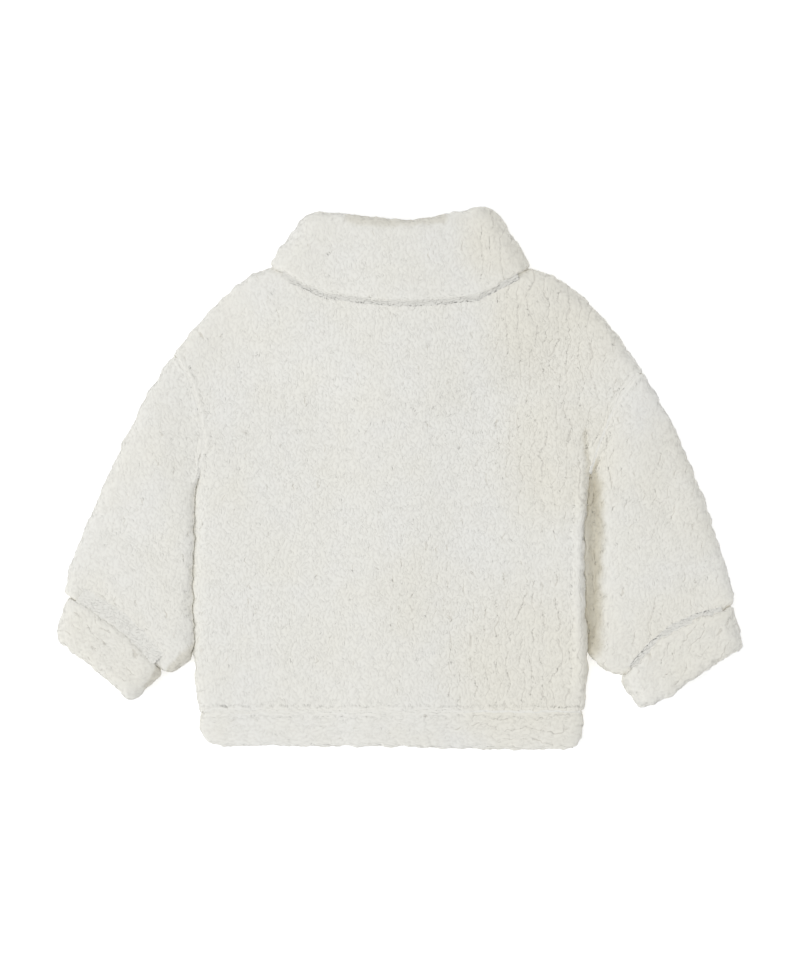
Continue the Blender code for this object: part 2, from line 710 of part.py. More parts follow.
def band_section(seam_length, leaf_length, layers, fold):
    """Section across a folded band: its sewn layer, its fold and its leaf.

    Each point has the layer it is on, its distance from the fold and its height
    above the middle of the flattened garment.
    """
    in_low, in_high, out_low, out_high = layers
    tip = (out_high - out_low) / 2
    points = []
    for angle in TIP_ANGLES:
        turn = math.radians(angle)
        height = (out_high + out_low) / 2 + tip * math.sin(turn)
        points.append(("leaf", leaf_length + tip * math.cos(turn), height))
    for share in LEAF_LINES:
        points.append(("leaf", leaf_length * share, out_high))
    for angle in RIDGE_ANGLES:
        turn = math.radians(angle)
        height = (out_high + in_low) / 2 + (out_high - in_low) / 2 * math.sin(turn)
        layer = "leaf" if angle > 0 else "seam"
        points.append((layer, fold * (1 - math.cos(turn)), height))
    points.append(("seam", seam_length, in_low))
    points.append(("seam", seam_length, in_low + LIP_HEIGHT * (in_high - in_low)))
    shoulder = in_low + LIP_SHOULDER * (in_high - in_low)
    points.append(("seam", seam_length - SEAM_STEPS[1], shoulder))
    points.append(("seam", seam_length - LIP, in_high))
    points.append(("seam", fold, in_high))
    points.append(("leaf", fold, out_low))
    points.append(("leaf", leaf_length * LEAF_INNER_LINE, out_low))
    return points


def band_ring(row, layers, fold, middle):
    """The section of a band at one station, turned to face up, out or down."""
    seam, ridge, edge = row[0:2], row[2:4], row[4:6]
    fold_out, edge_out, turn = row[6:8], row[8:10], math.radians(row[10])
    seam_length = np.linalg.norm(seam - ridge)
    leaf_length = np.linalg.norm(edge - ridge)
    ring = []
    for layer, along, height in band_section(seam_length, leaf_length, layers, fold):
        if layer == "leaf":
            way = (edge - ridge) / leaf_length
            share = min(along / leaf_length, 1.0)
        else:
            way = (seam - ridge) / seam_length
            share = 0.0
        out = fold_out * (1 - share) + edge_out * share
        x, y = ridge + way * along + out * height * math.cos(turn)
        level = float(middle(x, y))
        scale = 1.0 if turn >= 0 else level / layers[3]
        ring.append((x, y, level + height * math.sin(turn) * scale))
    return ring


def add_folded_band(name, stations, layers, fold, middle, closed):
    """A band that is folded over on itself and bends round the flattened edge."""
    rings = [band_ring(np.array(row), layers, fold, middle) for row in stations]
    return add_rings(name, rings, closed, pile_material(name + "_pile"))


def add_collar():
    """Turned-down collar, from its point on one front round the neck to the other."""
    left_out, right_out = COLLAR_TURNS["left"], COLLAR_TURNS["right"]
    right_front = [mirrored(row) for row in COLLAR_FRONT]
    stations = []
    path = smooth_rows(COLLAR_BACK[:1] + COLLAR_FRONT, 2)[:0:-1]
    stations += [(*row, *left_out, TURN_ANGLES[-1]) for row in path]
    stations += [(*COLLAR_BACK[0], *left_out, angle) for angle in TURN_ANGLES[::-1]]
    path = smooth_rows(COLLAR_BACK, 2)[1:-1]
    stations += [(*row, *left_out, TURN_ANGLES[0]) for row in path]
    stations += [(*COLLAR_BACK[-1], *right_out, angle) for angle in TURN_ANGLES]
    path = smooth_rows(COLLAR_BACK[-1:] + right_front, 2)[1:]
    stations += [(*row, *right_out, TURN_ANGLES[-1]) for row in path]
    return add_folded_band("collar", stations, COLLAR_LAYERS, COLLAR_FOLD, mid_height, False)


def cuff_middle(x, y):
    """The middle of a flattened cuff is level."""
    return CUFF_LAYERS[3]


def add_cuff(side):
    """Turned-back cuff: sewn on inside, folded at the wrist, its edge up the sleeve."""
    table = CUFF_LEFT if side == "left" else CUFF_RIGHT
    rows = []
    for fold_x, fold_y, edge_x, edge_y in smooth_rows(table, 2):
        seam_x = fold_x + (edge_x - fold_x) * CUFF_SEAM_SHARE
        seam_y = fold_y + (edge_y - fold_y) * CUFF_SEAM_SHARE
        rows.append((seam_x, seam_y, fold_x, fold_y, edge_x, edge_y))
    outer_turn, inner_turn = CUFF_TURNS[side]
    stations = [(*row, *outer_turn, TURN_ANGLES[0]) for row in rows[1:-1]]
    stations += [(*rows[-1], *inner_turn, angle) for angle in TURN_ANGLES]
    stations += [(*row, *outer_turn, TURN_ANGLES[-1]) for row in rows[-2:0:-1]]
    stations += [(*rows[0], *outer_turn, angle) for angle in TURN_ANGLES[::-1]]
    name = "cuff_" + side
    return add_folded_band(name, stations, CUFF_LAYERS, CUFF_FOLD, cuff_middle, True)


# ---- Hem band ----------------------------------------------------------------

def hem_bottom(x, column, edge_distance):
    """Lower edge of the band, with its rounded corner near a side edge."""
    table = np.array(HEM)
    inside = HEM_CORNER - min(edge_distance, HEM_CORNER)
    corner = HEM_CORNER - math.sqrt(HEM_CORNER ** 2 - inside ** 2)
    return float(np.interp(x, table[:, 0], table[:, column])) + corner


def hem_ring(place, bottom):
    """A ring across the band; place gives x and z at a share of its thickness."""
    top = HEM_SEAM_Y - GAP
    middle = (top + bottom) / 2
    section = [
        (top, 0.0),
        (top, LIP_HEIGHT),
        (top - SEAM_STEPS[1], LIP_SHOULDER),
        (top - LIP, 1.0),
        (middle, 1.0),
        (bottom + HEM_ROUND, 1.0),
        (bottom + HEM_ROUND_STEP, HEM_ROUND_SHARE),
        (bottom, 0.5),
        (bottom + HEM_ROUND_STEP, 1 - HEM_ROUND_SHARE),
        (bottom + HEM_ROUND, 0.0),
        (middle, 0.0),
    ]
    ring = []
    for y, share in section:
        x, z = place(y, share)
        ring.append((x, y, z))
    return ring


def add_hem_band():
    """One strip round the flattened hem, open at the centre front."""
    turn_radius = BODY_MID
    left_edge = SIDE[-1][0]
    right_edge = SIDE[-1][2]
    left_turn = left_edge + turn_radius
    right_turn = right_edge - turn_radius
    front_left_end = centre_front(HEM_SEAM_Y) + PLACKET_HALF
    front_right_end = centre_front(HEM_SEAM_Y) - PLACKET_HALF
    rings = []

    def add_front_rings(side, stations):
        for x in stations:
            def place(y, share, x=x):
                low, high = front_layer(side, x, y)
                return x, high - share * (high - low)
            edge = left_edge if side == "left" else right_edge
            hidden = side == "right" and x < front_left_end
            rise = UNDERLAP_RISE if hidden else 0.0
            rings.append(hem_ring(place, hem_bottom(x, 2, abs(x - edge)) + rise))

    def add_turn_rings(centre, sign, angles):
        for angle in angles:
            turn = math.radians(angle)

            def place(y, share, turn=turn):
                radius = SLIT / 2 + share * WALL
                out = radius * math.cos(turn)
                return centre + sign * out, BODY_MID + radius * math.sin(turn)
            distance = turn_radius * (1 - math.cos(turn))
            rings.append(hem_ring(place, hem_bottom(centre, 1, distance)))

    def add_back_rings(stations):
        for x in stations:
            def place(y, share, x=x):
                low = float(mid_height(x, y)) + SLIT / 2
                return x, low + share * WALL
            distance = min(x - left_edge, right_edge - x)
            rings.append(hem_ring(place, hem_bottom(x, 1, distance)))

    add_front_rings("left", np.linspace(front_left_end, left_turn, HEM_FRONT_LEFT)[:-1])
    add_turn_rings(left_turn, -1.0, TURN_ANGLES[::-1])
    add_back_rings(np.linspace(left_turn, right_turn, HEM_BACK)[1:-1])
    add_turn_rings(right_turn, 1.0, TURN_ANGLES)
    last_shown, first_covered = (front_left_end + step for step in HEM_LAP_STEPS)
    shown = np.linspace(right_turn, last_shown, HEM_FRONT_RIGHT)[1:]
    covered = np.linspace(first_covered, front_right_end, HEM_UNDERLAP)
    add_front_rings("right", np.concatenate([shown, covered]))
    return add_rings("hem_band", rings, closed=False, material=pile_material("hem_pile"))


# ---- Buttons -----------------------------------------------------------------

def add_cylinder(name, diameter, low, high, x, y):
    """An upright cylinder between two heights."""
    bpy.ops.mesh.primitive_cylinder_add(
        vertices=BUTTON_SIDES,
        radius=diameter / 2 * MM,
        depth=(high - low) * MM,
        location=(x * MM, y * MM, (low + high) / 2 * MM),
    )
    item = bpy.context.object
    item.name = name
    item.data.name = name
    for collection in list(item.users_collection):
        collection.objects.unlink(item)
    return item


def add_buttons(front):
    """Flat round buttons on the wearer's left front, each in a dimple of the pile."""
    plastic = button_material()
    ceiling = BUTTON_FLOOR + BUTTON_THICKNESS + GAP
    for number, y in enumerate(BUTTON_ROWS_Y, start=1):
        x = centre_front(y)
        cutter = add_cylinder(f"dimple_{number}", DIMPLE_DIAMETER, -DIMPLE_CUT, ceiling, x, y)
        cutter.hide_render = True
        cutter.display_type = "WIRE"
        cutters.objects.link(cutter)
        dimple = front.modifiers.new(f"dimple_{number}", "BOOLEAN")
        dimple.operation = "DIFFERENCE"
        dimple.solver = "EXACT"
        dimple.object = cutter
        top = BUTTON_FLOOR + BUTTON_THICKNESS
        button = add_cylinder(f"button_{number}", BUTTON_DIAMETER, BUTTON_FLOOR, top, x, y)
        button.data.materials.append(plastic)
        jacket.objects.link(button)
        rim = button.modifiers.new("rim", "BEVEL")
        rim.width = BUTTON_RIM * MM
        rim.segments = 1
        button.data.shade_smooth()
        button.data.set_sharp_from_angle(angle=math.radians(BUTTON_EDGE_ANGLE))


def centre_on_origin():
    """Move the jacket so that its box stands with the middle of its base at 0."""
    corners = [vertex.co for item in jacket.objects for vertex in item.data.vertices
               if item.location.length == 0.0]
    low = np.min(corners, axis=0)
    high = np.max(corners, axis=0)
    for item in list(jacket.objects) + list(cutters.objects):
        item.location.x -= (low[0] + high[0]) / 2
        item.location.y -= (low[1] + high[1]) / 2
        item.location.z -= low[2]


# ---- The jacket --------------------------------------------------------------

for item in list(bpy.data.objects):
    bpy.data.objects.remove(item)

jacket = bpy.data.collections.new("sherpa_jacket")
cutters = bpy.data.collections.new("cutters")
bpy.context.scene.collection.children.link(jacket)
bpy.context.scene.collection.children.link(cutters)

add_back()
front_left = add_front("left")
add_front("right")
add_sleeve("left")
add_sleeve("right")
add_collar()
add_cuff("left")
add_cuff("right")
add_hem_band()
add_buttons(front_left)
centre_on_origin()
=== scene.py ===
"""Baby's sherpa jacket, laid out flat on a pale table with its back up.

Sizes in the tables are millimetres on the laid-out jacket, seen from above: +X is
the right of the picture and +Y points to the collar. Left and right in the names
are the wearer's, so the left sleeve is at -X.
"""

import json
import math

import bmesh
import bpy
import numpy as np
from mathutils import Matrix, Vector
from mathutils.bvhtree import BVHTree

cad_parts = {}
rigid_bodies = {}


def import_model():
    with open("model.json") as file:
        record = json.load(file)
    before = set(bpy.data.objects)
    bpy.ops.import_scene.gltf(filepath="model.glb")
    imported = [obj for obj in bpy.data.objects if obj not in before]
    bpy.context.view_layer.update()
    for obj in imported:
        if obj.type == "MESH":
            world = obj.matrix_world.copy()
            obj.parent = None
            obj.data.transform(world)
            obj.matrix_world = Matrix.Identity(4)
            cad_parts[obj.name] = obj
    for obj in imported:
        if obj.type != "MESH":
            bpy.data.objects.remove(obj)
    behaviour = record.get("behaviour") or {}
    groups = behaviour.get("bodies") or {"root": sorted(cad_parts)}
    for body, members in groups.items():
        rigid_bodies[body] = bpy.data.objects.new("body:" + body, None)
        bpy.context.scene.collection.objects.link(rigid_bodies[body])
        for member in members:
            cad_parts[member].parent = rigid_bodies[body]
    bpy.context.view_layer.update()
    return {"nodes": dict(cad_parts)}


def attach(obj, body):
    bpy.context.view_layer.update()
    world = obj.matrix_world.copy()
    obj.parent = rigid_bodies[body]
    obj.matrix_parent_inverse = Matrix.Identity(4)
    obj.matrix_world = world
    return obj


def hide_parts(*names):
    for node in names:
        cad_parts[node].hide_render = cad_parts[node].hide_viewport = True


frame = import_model()

# ==============================================================================
# The back
#
# One panel of sherpa, a knitted polyester ground with curled pile on it, cut from
# the shoulders to the hem seam. It lies on the two fronts, and it is sewn to them
# at the shoulders and sides, to the sleeves at the armholes and to the collar.
# ==============================================================================

MM = 0.001
CLOTH_PIECES = (
    "back", "front_left", "front_right", "sleeve_left", "sleeve_right",
    "collar", "cuff_left", "cuff_right", "hem_band",
)
BUTTONS = ("button_1", "button_2", "button_3", "button_4")


def linear(code):
    """An sRGB hex colour as the linear colour that a material takes."""
    parts = [int(code[place:place + 2], 16) / 255 for place in (1, 3, 5)]
    return tuple(part / 12.92 if part <= 0.04045 else ((part + 0.055) / 1.055) ** 2.4
                 for part in parts) + (1.0,)


def add_node(tree, kind, inputs=(), **settings):
    """Add a node with its settings; each input gets a value or a socket's link."""
    node = tree.nodes.new(kind)
    for name, value in settings.items():
        setattr(node, name, value)
    for key, value in dict(inputs).items():
        if isinstance(value, bpy.types.NodeSocket):
            tree.links.new(value, node.inputs[key])
        else:
            node.inputs[key].default_value = value
    return node


def compute(tree, operation, *values):
    """A number worked out from others."""
    return add_node(tree, "ShaderNodeMath", dict(enumerate(values)), operation=operation).outputs[0]


def combine(tree, operation, *values):
    """A vector worked out from others."""
    return add_node(tree, "ShaderNodeVectorMath", dict(enumerate(values)),
                    operation=operation).outputs[0]


def split(tree, vector):
    """The x, y and z of a vector."""
    return add_node(tree, "ShaderNodeSeparateXYZ", {0: vector}).outputs


def noise(tree, place, scale, detail=0.0, output=0):
    """Noise at a place, as a number, or as a vector where the output is 1."""
    return add_node(tree, "ShaderNodeTexNoise",
                    {"Vector": place, "Scale": scale, "Detail": detail}).outputs[output]


def step_between(tree, value, start, end, kind="SMOOTHSTEP"):
    """A number that goes from 0 at the start to 1 at the end."""
    return add_node(tree, "ShaderNodeMapRange", {"Value": value, "From Min": start, "From Max": end},
                    interpolation_type=kind).outputs[0]


def mixed(tree, share, first, second):
    """A colour that lies a share of the way from one to another."""
    return add_node(tree, "ShaderNodeMix", {0: share, 6: first, 7: second},
                    data_type="RGBA").outputs[2]


PARTING_APART = 9.5     # mm, between the thin partings in the pile
PARTING_EDGE = (0.64, 0.24)  # mm from the middle of one, where it starts and is in full
PARTING_SWAY = ((16.0, 26.0, 16.0), 1.6)  # mm, pitch of their sway, and its reach in partings
PARTING_WANDER = (4.0, (2.6, 1.2, 2.6))   # mm, pitch and reach of their small bends
PARTING_PIECE = (6.0, 10.0, 6.0)          # mm, pitch at which they stop and start
PARTING_SHOWN = (0.72, 0.86)              # level of noise from which they show, and in full


def offset_by_noise(tree, place, pitch, reach):
    """A place moved by noise of a pitch, at most by half the reach each way."""
    bend = combine(tree, "SUBTRACT", noise(tree, place, 1 / pitch, output=1), (0.5, 0.5, 0.5))
    return combine(tree, "MULTIPLY_ADD", bend, reach, place)


def partings(tree, place, parted):
    """1 in a thin parting of the pile and 0 beside it; parted says how many there are.

    place is in millimetres along the cloth. The partings run along it and wander.
    """
    place = offset_by_noise(tree, place, *PARTING_WANDER)
    pitch, reach = PARTING_SWAY
    sway = compute(tree, "MULTIPLY", noise(tree, combine(tree, "DIVIDE", place, pitch), 1.0), reach)
    across = compute(tree, "MULTIPLY_ADD", split(tree, place)[0], 1 / PARTING_APART, sway)
    away = compute(tree, "SUBTRACT", compute(tree, "FRACT", across), 0.5)
    away = compute(tree, "MULTIPLY", compute(tree, "ABSOLUTE", away), PARTING_APART)
    line = step_between(tree, away, *PARTING_EDGE)
    pieces = noise(tree, combine(tree, "DIVIDE", place, PARTING_PIECE), 1.0)
    pieces = compute(tree, "MULTIPLY_ADD", parted, 0.5, pieces)
    return compute(tree, "MULTIPLY", line, step_between(tree, pieces, *PARTING_SHOWN))


FUZZ = 5.5              # how much the cloth's own facing counts beside a curl's
MOTTLE = 34.0           # mm, pitch of the soft change of tone
FIBRE = (5.0, 0.5, 0.5)  # mm, length and thickness of the fibres in a curl
GRAIN = 1.5             # mm, pitch of the grain of the ground between the curls
RELIEF = 0.3            # mm, height of the fibres and the grain
RELIEF_SHOWN = 0.2      # how strongly they show


def attribute(tree, name, output="Fac"):
    """A stored value of the mesh, as a material reads it."""
    return add_node(tree, "ShaderNodeAttribute", attribute_name=name).outputs[output]


def sherpa_material():
    """Sherpa, a curled polyester pile knitted into a soft ground.

    It is matt, with a faint sheen from the fibre ends. Its curls are too fuzzy to
    shade as hard forms, so they take most of the shading of the cloth under them. It
    is a little yellower where the pile is parted the most. The partings are real gaps
    in the pile, and their darker, yellower colour is painted shade. It is darker still
    along the lines stored as shade, which is painted shade as well.
    """
    material = bpy.data.materials.new("curled_polyester_pile")
    material.use_nodes = True
    tree = material.node_tree
    surface = tree.nodes["Principled BSDF"]
    surface.inputs["Roughness"].default_value = 0.95
    surface.inputs["Specular IOR Level"].default_value = 0.2
    surface.inputs["Sheen Weight"].default_value = 0.2
    surface.inputs["Sheen Roughness"].default_value = 0.5
    place = attribute(tree, "cloth_mm", "Vector")
    colour = mixed(tree, noise(tree, place, 1 / MOTTLE, 2.0), linear("#f9f8f4"), linear("#f8f5ea"))
    parted = attribute(tree, "parted")
    # The last two colours are painted shade: the partings are real gaps in the pile with their shade
    # painted in, and the lines stored as shade are painted shade alone.
    for share, shade in ((attribute(tree, "tint"), "#f3f0e8"),
                         (compute(tree, "MULTIPLY", parted, 0.5), "#f4eedc"),
                         (partings(tree, place, parted), "#e3dfd4"),
                         (attribute(tree, "shade"), "#d2cab4")):
        colour = mixed(tree, share, colour, linear(shade))
    tree.links.new(colour, surface.inputs["Base Color"])
    strand = attribute(tree, "strand_mm", "Vector")
    fibres = noise(tree, combine(tree, "DIVIDE", strand, FIBRE), 1.0, 1.0)
    relief = compute(tree, "ADD", fibres, noise(tree, place, 1 / GRAIN, 1.0))
    bump = add_node(tree, "ShaderNodeBump",
                    {"Strength": RELIEF_SHOWN, "Distance": RELIEF * MM, "Height": relief}).outputs[0]
    facing = attribute(tree, "cloth_normal", "Vector")
    facing = combine(tree, "MULTIPLY_ADD", facing, (FUZZ, FUZZ, FUZZ), bump)
    tree.links.new(combine(tree, "NORMALIZE", facing), surface.inputs["Normal"])
    return material


sherpa = sherpa_material()

PILE_RISE = 1.6         # mm, how far the ground of the pile stands out of the solid
PILE_DEPTH = 0.3        # mm, from there down into a parting
CLUMP = 8.0             # mm, pitch of the soft clumps that the curls lie in
CLUMP_DEPTH = 4.0       # times the depth of a parting, between two clumps
PRESSED_DEPTH = 0.6     # share of that depth where the table presses the pile
FAR = 9.0               # mm, more than the pile ever rises
SHARED_ROOM = 0.47      # share of the gap to the next cloth that a piece may fill
RAY_START = 0.1         # mm off the cloth, so that a ray doesn't meet its own face
PILE_SPACING = 2.5      # mm, longest mesh edge where the pile shows
HIDDEN_REACH = 2.0      # mm, cloth with something this close over it doesn't show
PRESSED_FACING = -0.5   # cloth that faces down more than this is flat on the table
SEAM_RIDGE = 1.6        # mm, pile pushed up along a seam fills its groove
SEAM_REACH = 5.0        # mm, on each side of the seam
UNEVEN = ((11.0, 4.0), (4.5, 2.0))  # mm, pitch and reach of the sway in every edge and seam
UNEVEN_FACING = (-0.6, -0.2)  # facing from which the cloth sways, and in full

# Where the pile is parted the most: the middle of a patch, its reach and how much.
PARTED_LEAST = 0.12
PARTED = (
    # x, y, reach, how much
    (128.0, 120.0, 60.0, 0.85),
    (132.0, 20.0, 55.0, 0.8),
    (108.0, -150.0, 70.0, 0.8),
    (20.0, -90.0, 45.0, 0.4),
    (84.0, 190.0, 35.0, 0.9),
    (232.0, -130.0, 50.0, 0.6),
    (-236.0, -135.0, 45.0, 0.5),
    (235.0, 0.0, 60.0, 0.5),
)

# Seams that show, as points on the jacket.
SEAMS = (
    ((-179.7, 99.7), (-169.5, 84.6), (-162.9, 67.1), (-158.5, 51.1), (-155.9, 35.7),
     (-156.9, 18.1), (-161.7, 1.1)),
    ((193.5, 87.1), (183.7, 76.1), (173.7, 61.6), (165.9, 44.6), (160.7, 29.6),
     (156.1, 17.1), (151.6, 5.1)),
    ((-159.5, -185.1), (147.9, -185.1)),
)


def placed(name, data):
    """A new object of the scene with this mesh, curve, lamp or camera."""
    item = bpy.data.objects.new(name, data)
    bpy.context.scene.collection.objects.link(item)
    return item


def mesh_of(bm, name):
    """A new mesh from the faces that were drawn."""
    mesh = bpy.data.meshes.new(name)
    bm.to_mesh(mesh)
    bm.free()
    return mesh


def shape_of(item):
    """The mesh of an object with its modifiers applied."""
    graph = bpy.context.evaluated_depsgraph_get()
    return bpy.data.meshes.new_from_object(item.evaluated_get(graph))


def smooth_copy(name):
    """A solid's mesh, its triangles paired again to quads and its facets rounded."""
    bm = bmesh.new()
    bm.from_mesh(frame["nodes"][name].data)
    bmesh.ops.remove_doubles(bm, verts=bm.verts, dist=1e-6)
    bmesh.ops.join_triangles(bm, faces=bm.faces, angle_face_threshold=0.7,
                             angle_shape_threshold=3.2)
    mesh = mesh_of(bm, name + "_solid")
    item = placed(name + "_solid", mesh)
    rounded = item.modifiers.new("rounded", "SUBSURF")
    rounded.levels = rounded.render_levels = 2
    result = shape_of(item)
    bpy.data.objects.remove(item)
    bpy.data.meshes.remove(mesh)
    return result


def search_tree(meshes):
    """A tree of all the faces of some meshes, for casting rays."""
    points, faces = [], []
    for mesh in meshes:
        start = len(points)
        points += [vertex.co.copy() for vertex in mesh.vertices]
        faces += [[start + index for index in face.vertices] for face in mesh.polygons]
    return BVHTree.FromPolygons(points, faces)


smooth_solids = {name: smooth_copy(name) for name in CLOTH_PIECES + BUTTONS}
all_cloth = search_tree(smooth_solids.values())


def divided(mesh, spacing):
    """The mesh with every face that shows divided down to the spacing, in mm."""
    bm = bmesh.new()
    bm.from_mesh(mesh)
    bm.normal_update()
    for face in bm.faces:
        start = face.calc_center_median() + face.normal * 2.0 * RAY_START * MM
        hit = all_cloth.ray_cast(start, face.normal, HIDDEN_REACH * MM)
        face.material_index = 1 if hit[0] is None else 0
    edge_of_view = [face for face in bm.faces if face.material_index == 0
                    and any(other.material_index for vertex in face.verts
                            for other in vertex.link_faces)]
    for face in edge_of_view:
        face.material_index = 1
    for _ in range(3):
        long_edges = {edge for face in bm.faces if face.material_index
                      for edge in face.edges if edge.calc_length() > spacing * MM}
        bmesh.ops.subdivide_edges(bm, edges=list(long_edges), cuts=1, use_grid_fill=True)
        bm.normal_update()
        shown = [vertex for vertex in bm.verts if vertex.normal.z > PRESSED_FACING
                 and all(face.material_index for face in vertex.link_faces)]
        for _ in range(3):
            bmesh.ops.smooth_vert(bm, verts=shown, factor=0.5, use_axis_x=True,
                                  use_axis_y=True, use_axis_z=True)
    bmesh.ops.triangulate(bm, faces=[face for face in bm.faces if len(face.verts) > 4])
    shows = bm.verts.layers.float.new("shows")
    for vertex in bm.verts:
        vertex[shows] = float(all(face.material_index for face in vertex.link_faces))
    for face in bm.faces:
        face.material_index = 0
        face.smooth = True
    return mesh_of(bm, "divided")


def stored(tree, name, data_type="FLOAT"):
    """A stored value of the mesh, as geometry nodes read it."""
    return add_node(tree, "GeometryNodeInputNamedAttribute", {"Name": name},
                    data_type=data_type).outputs[0]


def store(tree, geometry, name, value, data_type="FLOAT"):
    """Geometry with a value stored at each of its points."""
    return add_node(tree, "GeometryNodeStoreNamedAttribute",
                    {"Geometry": geometry, "Name": name, "Value": value},
                    data_type=data_type, domain="POINT").outputs[0]


def new_tree(name, inputs):
    """A geometry node tree, its named inputs' identifiers and their sockets inside."""
    tree = bpy.data.node_groups.new(name, "GeometryNodeTree")
    keys = {label: tree.interface.new_socket(label, in_out="INPUT", socket_type=kind).identifier
            for label, kind in inputs}
    tree.interface.new_socket("Result", in_out="OUTPUT", socket_type="NodeSocketGeometry")
    return tree, keys, add_node(tree, "NodeGroupInput").outputs


def end_tree(tree, geometry, finish):
    """Close a tree with plain geometry in its finish."""
    plain = add_node(tree, "GeometryNodeRealizeInstances", {"Geometry": geometry}).outputs[0]
    done = add_node(tree, "GeometryNodeSetMaterial", {"Geometry": plain, "Material": finish})
    add_node(tree, "NodeGroupOutput", {0: done.outputs[0]})


def ground_tree():
    """Geometry nodes that raise the ground of the pile on a piece of cloth.

    It is thinner where another piece, or the same one folded over, is close. The table
    presses it flat, and only the cloth that doesn't face the table sways.
    """
    tree, keys, given = new_tree("pile_ground", (
        ("Cloth", "NodeSocketGeometry"), ("Around", "NodeSocketObject"),
        ("Grain Angle", "NodeSocketFloat"), ("Rise", "NodeSocketFloat"),
        ("Depth", "NodeSocketFloat"), ("Seed", "NodeSocketFloat"),
        ("Finish", "NodeSocketMaterial"),
    ))
    position = add_node(tree, "GeometryNodeInputPosition").outputs[0]
    normal = add_node(tree, "GeometryNodeInputNormal").outputs[0]
    place = combine(tree, "MULTIPLY", position, (1 / MM,) * 3)
    place = add_node(tree, "ShaderNodeVectorRotate", {"Vector": place, "Angle": given["Grain Angle"]},
                     rotation_type="Z_AXIS").outputs[0]
    shift = add_node(tree, "ShaderNodeCombineXYZ", {0: given["Seed"], 1: given["Seed"]}).outputs[0]
    place = combine(tree, "ADD", place, shift)
    kept = store(tree, given["Cloth"], "cloth_mm", place, "FLOAT_VECTOR")
    low = compute(tree, "MULTIPLY_ADD", noise(tree, place, 1 / CLUMP, 1.0), CLUMP_DEPTH,
                  partings(tree, place, stored(tree, "parted")))
    dip = compute(tree, "MULTIPLY", low, given["Depth"])
    rise = compute(tree, "SUBTRACT", given["Rise"], dip)

    around = add_node(tree, "GeometryNodeObjectInfo", {"Object": given["Around"]}).outputs["Geometry"]
    near = add_node(tree, "GeometryNodeProximity", {0: around}, target_element="FACES")
    beside = compute(tree, "MULTIPLY", near.outputs["Distance"], SHARED_ROOM / MM)
    upward = compute(tree, "MULTIPLY_ADD", stored(tree, "sewn"), FAR, beside)
    start = combine(tree, "MULTIPLY_ADD", normal, (RAY_START * MM,) * 3, position)
    layers = add_node(tree, "GeometryNodeJoinGeometry").inputs[0]
    for cloth in (given["Cloth"], around):
        tree.links.new(cloth, layers)
    above = add_node(tree, "GeometryNodeRaycast",
                     {"Target Geometry": layers.node.outputs[0], "Source Position": start,
                      "Ray Direction": normal, "Ray Length": FAR * MM})
    room = compute(tree, "MULTIPLY", above.outputs["Hit Distance"], SHARED_ROOM / MM)
    room = add_node(tree, "GeometryNodeSwitch",
                    {"Switch": above.outputs["Is Hit"], "False": FAR, "True": room},
                    input_type="FLOAT").outputs[0]
    rise = compute(tree, "MINIMUM", rise, room)
    beside = compute(tree, "MINIMUM", rise, beside)
    upward = compute(tree, "MINIMUM", rise, upward)
    moved = add_node(tree, "ShaderNodeCombineXYZ", {0: beside, 1: beside, 2: upward}).outputs[0]
    moved = combine(tree, "MULTIPLY", moved, (MM, MM, MM))
    x, y, z = split(tree, combine(tree, "MULTIPLY_ADD", normal, moved, position))
    z = compute(tree, "MAXIMUM", z, compute(tree, "MULTIPLY", dip, PRESSED_DEPTH * MM))
    even = uneven = add_node(tree, "ShaderNodeCombineXYZ", {0: x, 1: y, 2: z}).outputs[0]
    for pitch, reach in UNEVEN:
        uneven = offset_by_noise(tree, uneven, pitch * MM, (reach * MM, reach * MM, 0.0))
    free = step_between(tree, split(tree, normal)[2], *UNEVEN_FACING, kind="LINEAR")
    final = add_node(tree, "ShaderNodeMix", {0: free, 4: even, 5: uneven},
                     data_type="VECTOR").outputs[1]
    raised = add_node(tree, "GeometryNodeSetPosition", {"Geometry": kept, "Position": final})
    end_tree(tree, raised.outputs[0], given["Finish"])
    return tree, keys


CURL_LENGTH = 5.4       # mm, one curl of the pile from end to end
CURL_WIDTH = 2.2        # mm, across its middle
CURL_HEIGHT = 0.28      # mm, of its top above the ground
CURL_BEND = 1.3         # mm, its ends lie this far to one side of its middle
CURL_SIDE = 1.7         # times that on the sides, where nothing presses on them
SIDE_FACING = (0.9, 0.3)  # how far up or down the cloth faces on top, and on its sides
CURL_ROOT = 0.15        # mm, and this far down in the ground
CURLS_APART = 2.15      # mm, least distance between the middles of two curls
CURLS_MOST = 1e6        # on a square metre: more than fit, so the distance alone decides
CURL_TURN = 1.0         # radians, how far a curl may turn from the grain
CURL_TILT = 0.05        # radians, how far it leans before it is laid on the cloth
CURL_LEAST, CURL_MOST = (0.75, 0.7, 0.6), (1.2, 1.25, 1.2)  # random scale of each side
CURL_KINK = (5.0, (2.4, 2.4, 0.2))  # mm, pitch and reach of the kinks in the curls
CURL_TINT = 0.4         # how much of the darker tint the darkest curl has
CURL_FACING = (-0.75, -0.35)  # facing from which the cloth has curls, and in full
CURL_COVERED = 0.8      # mm, none stands where another piece is this close over it
CURL_PARTED = 0.6       # none stands where the pile is parted more than this
ABOVE_TABLE = (-9.0, -9.0, 0.0)  # metres, least coordinates: only the height is held back


def join_rings(bm, first, second, count):
    """Faces between two rings of points, either of which may be a single point."""
    for step in range(count):
        corners = [ring[index % len(ring)] for ring, index in
                   ((first, step), (first, step + 1), (second, step + 1), (second, step))]
        bm.faces.new(list(dict.fromkeys(corners)))


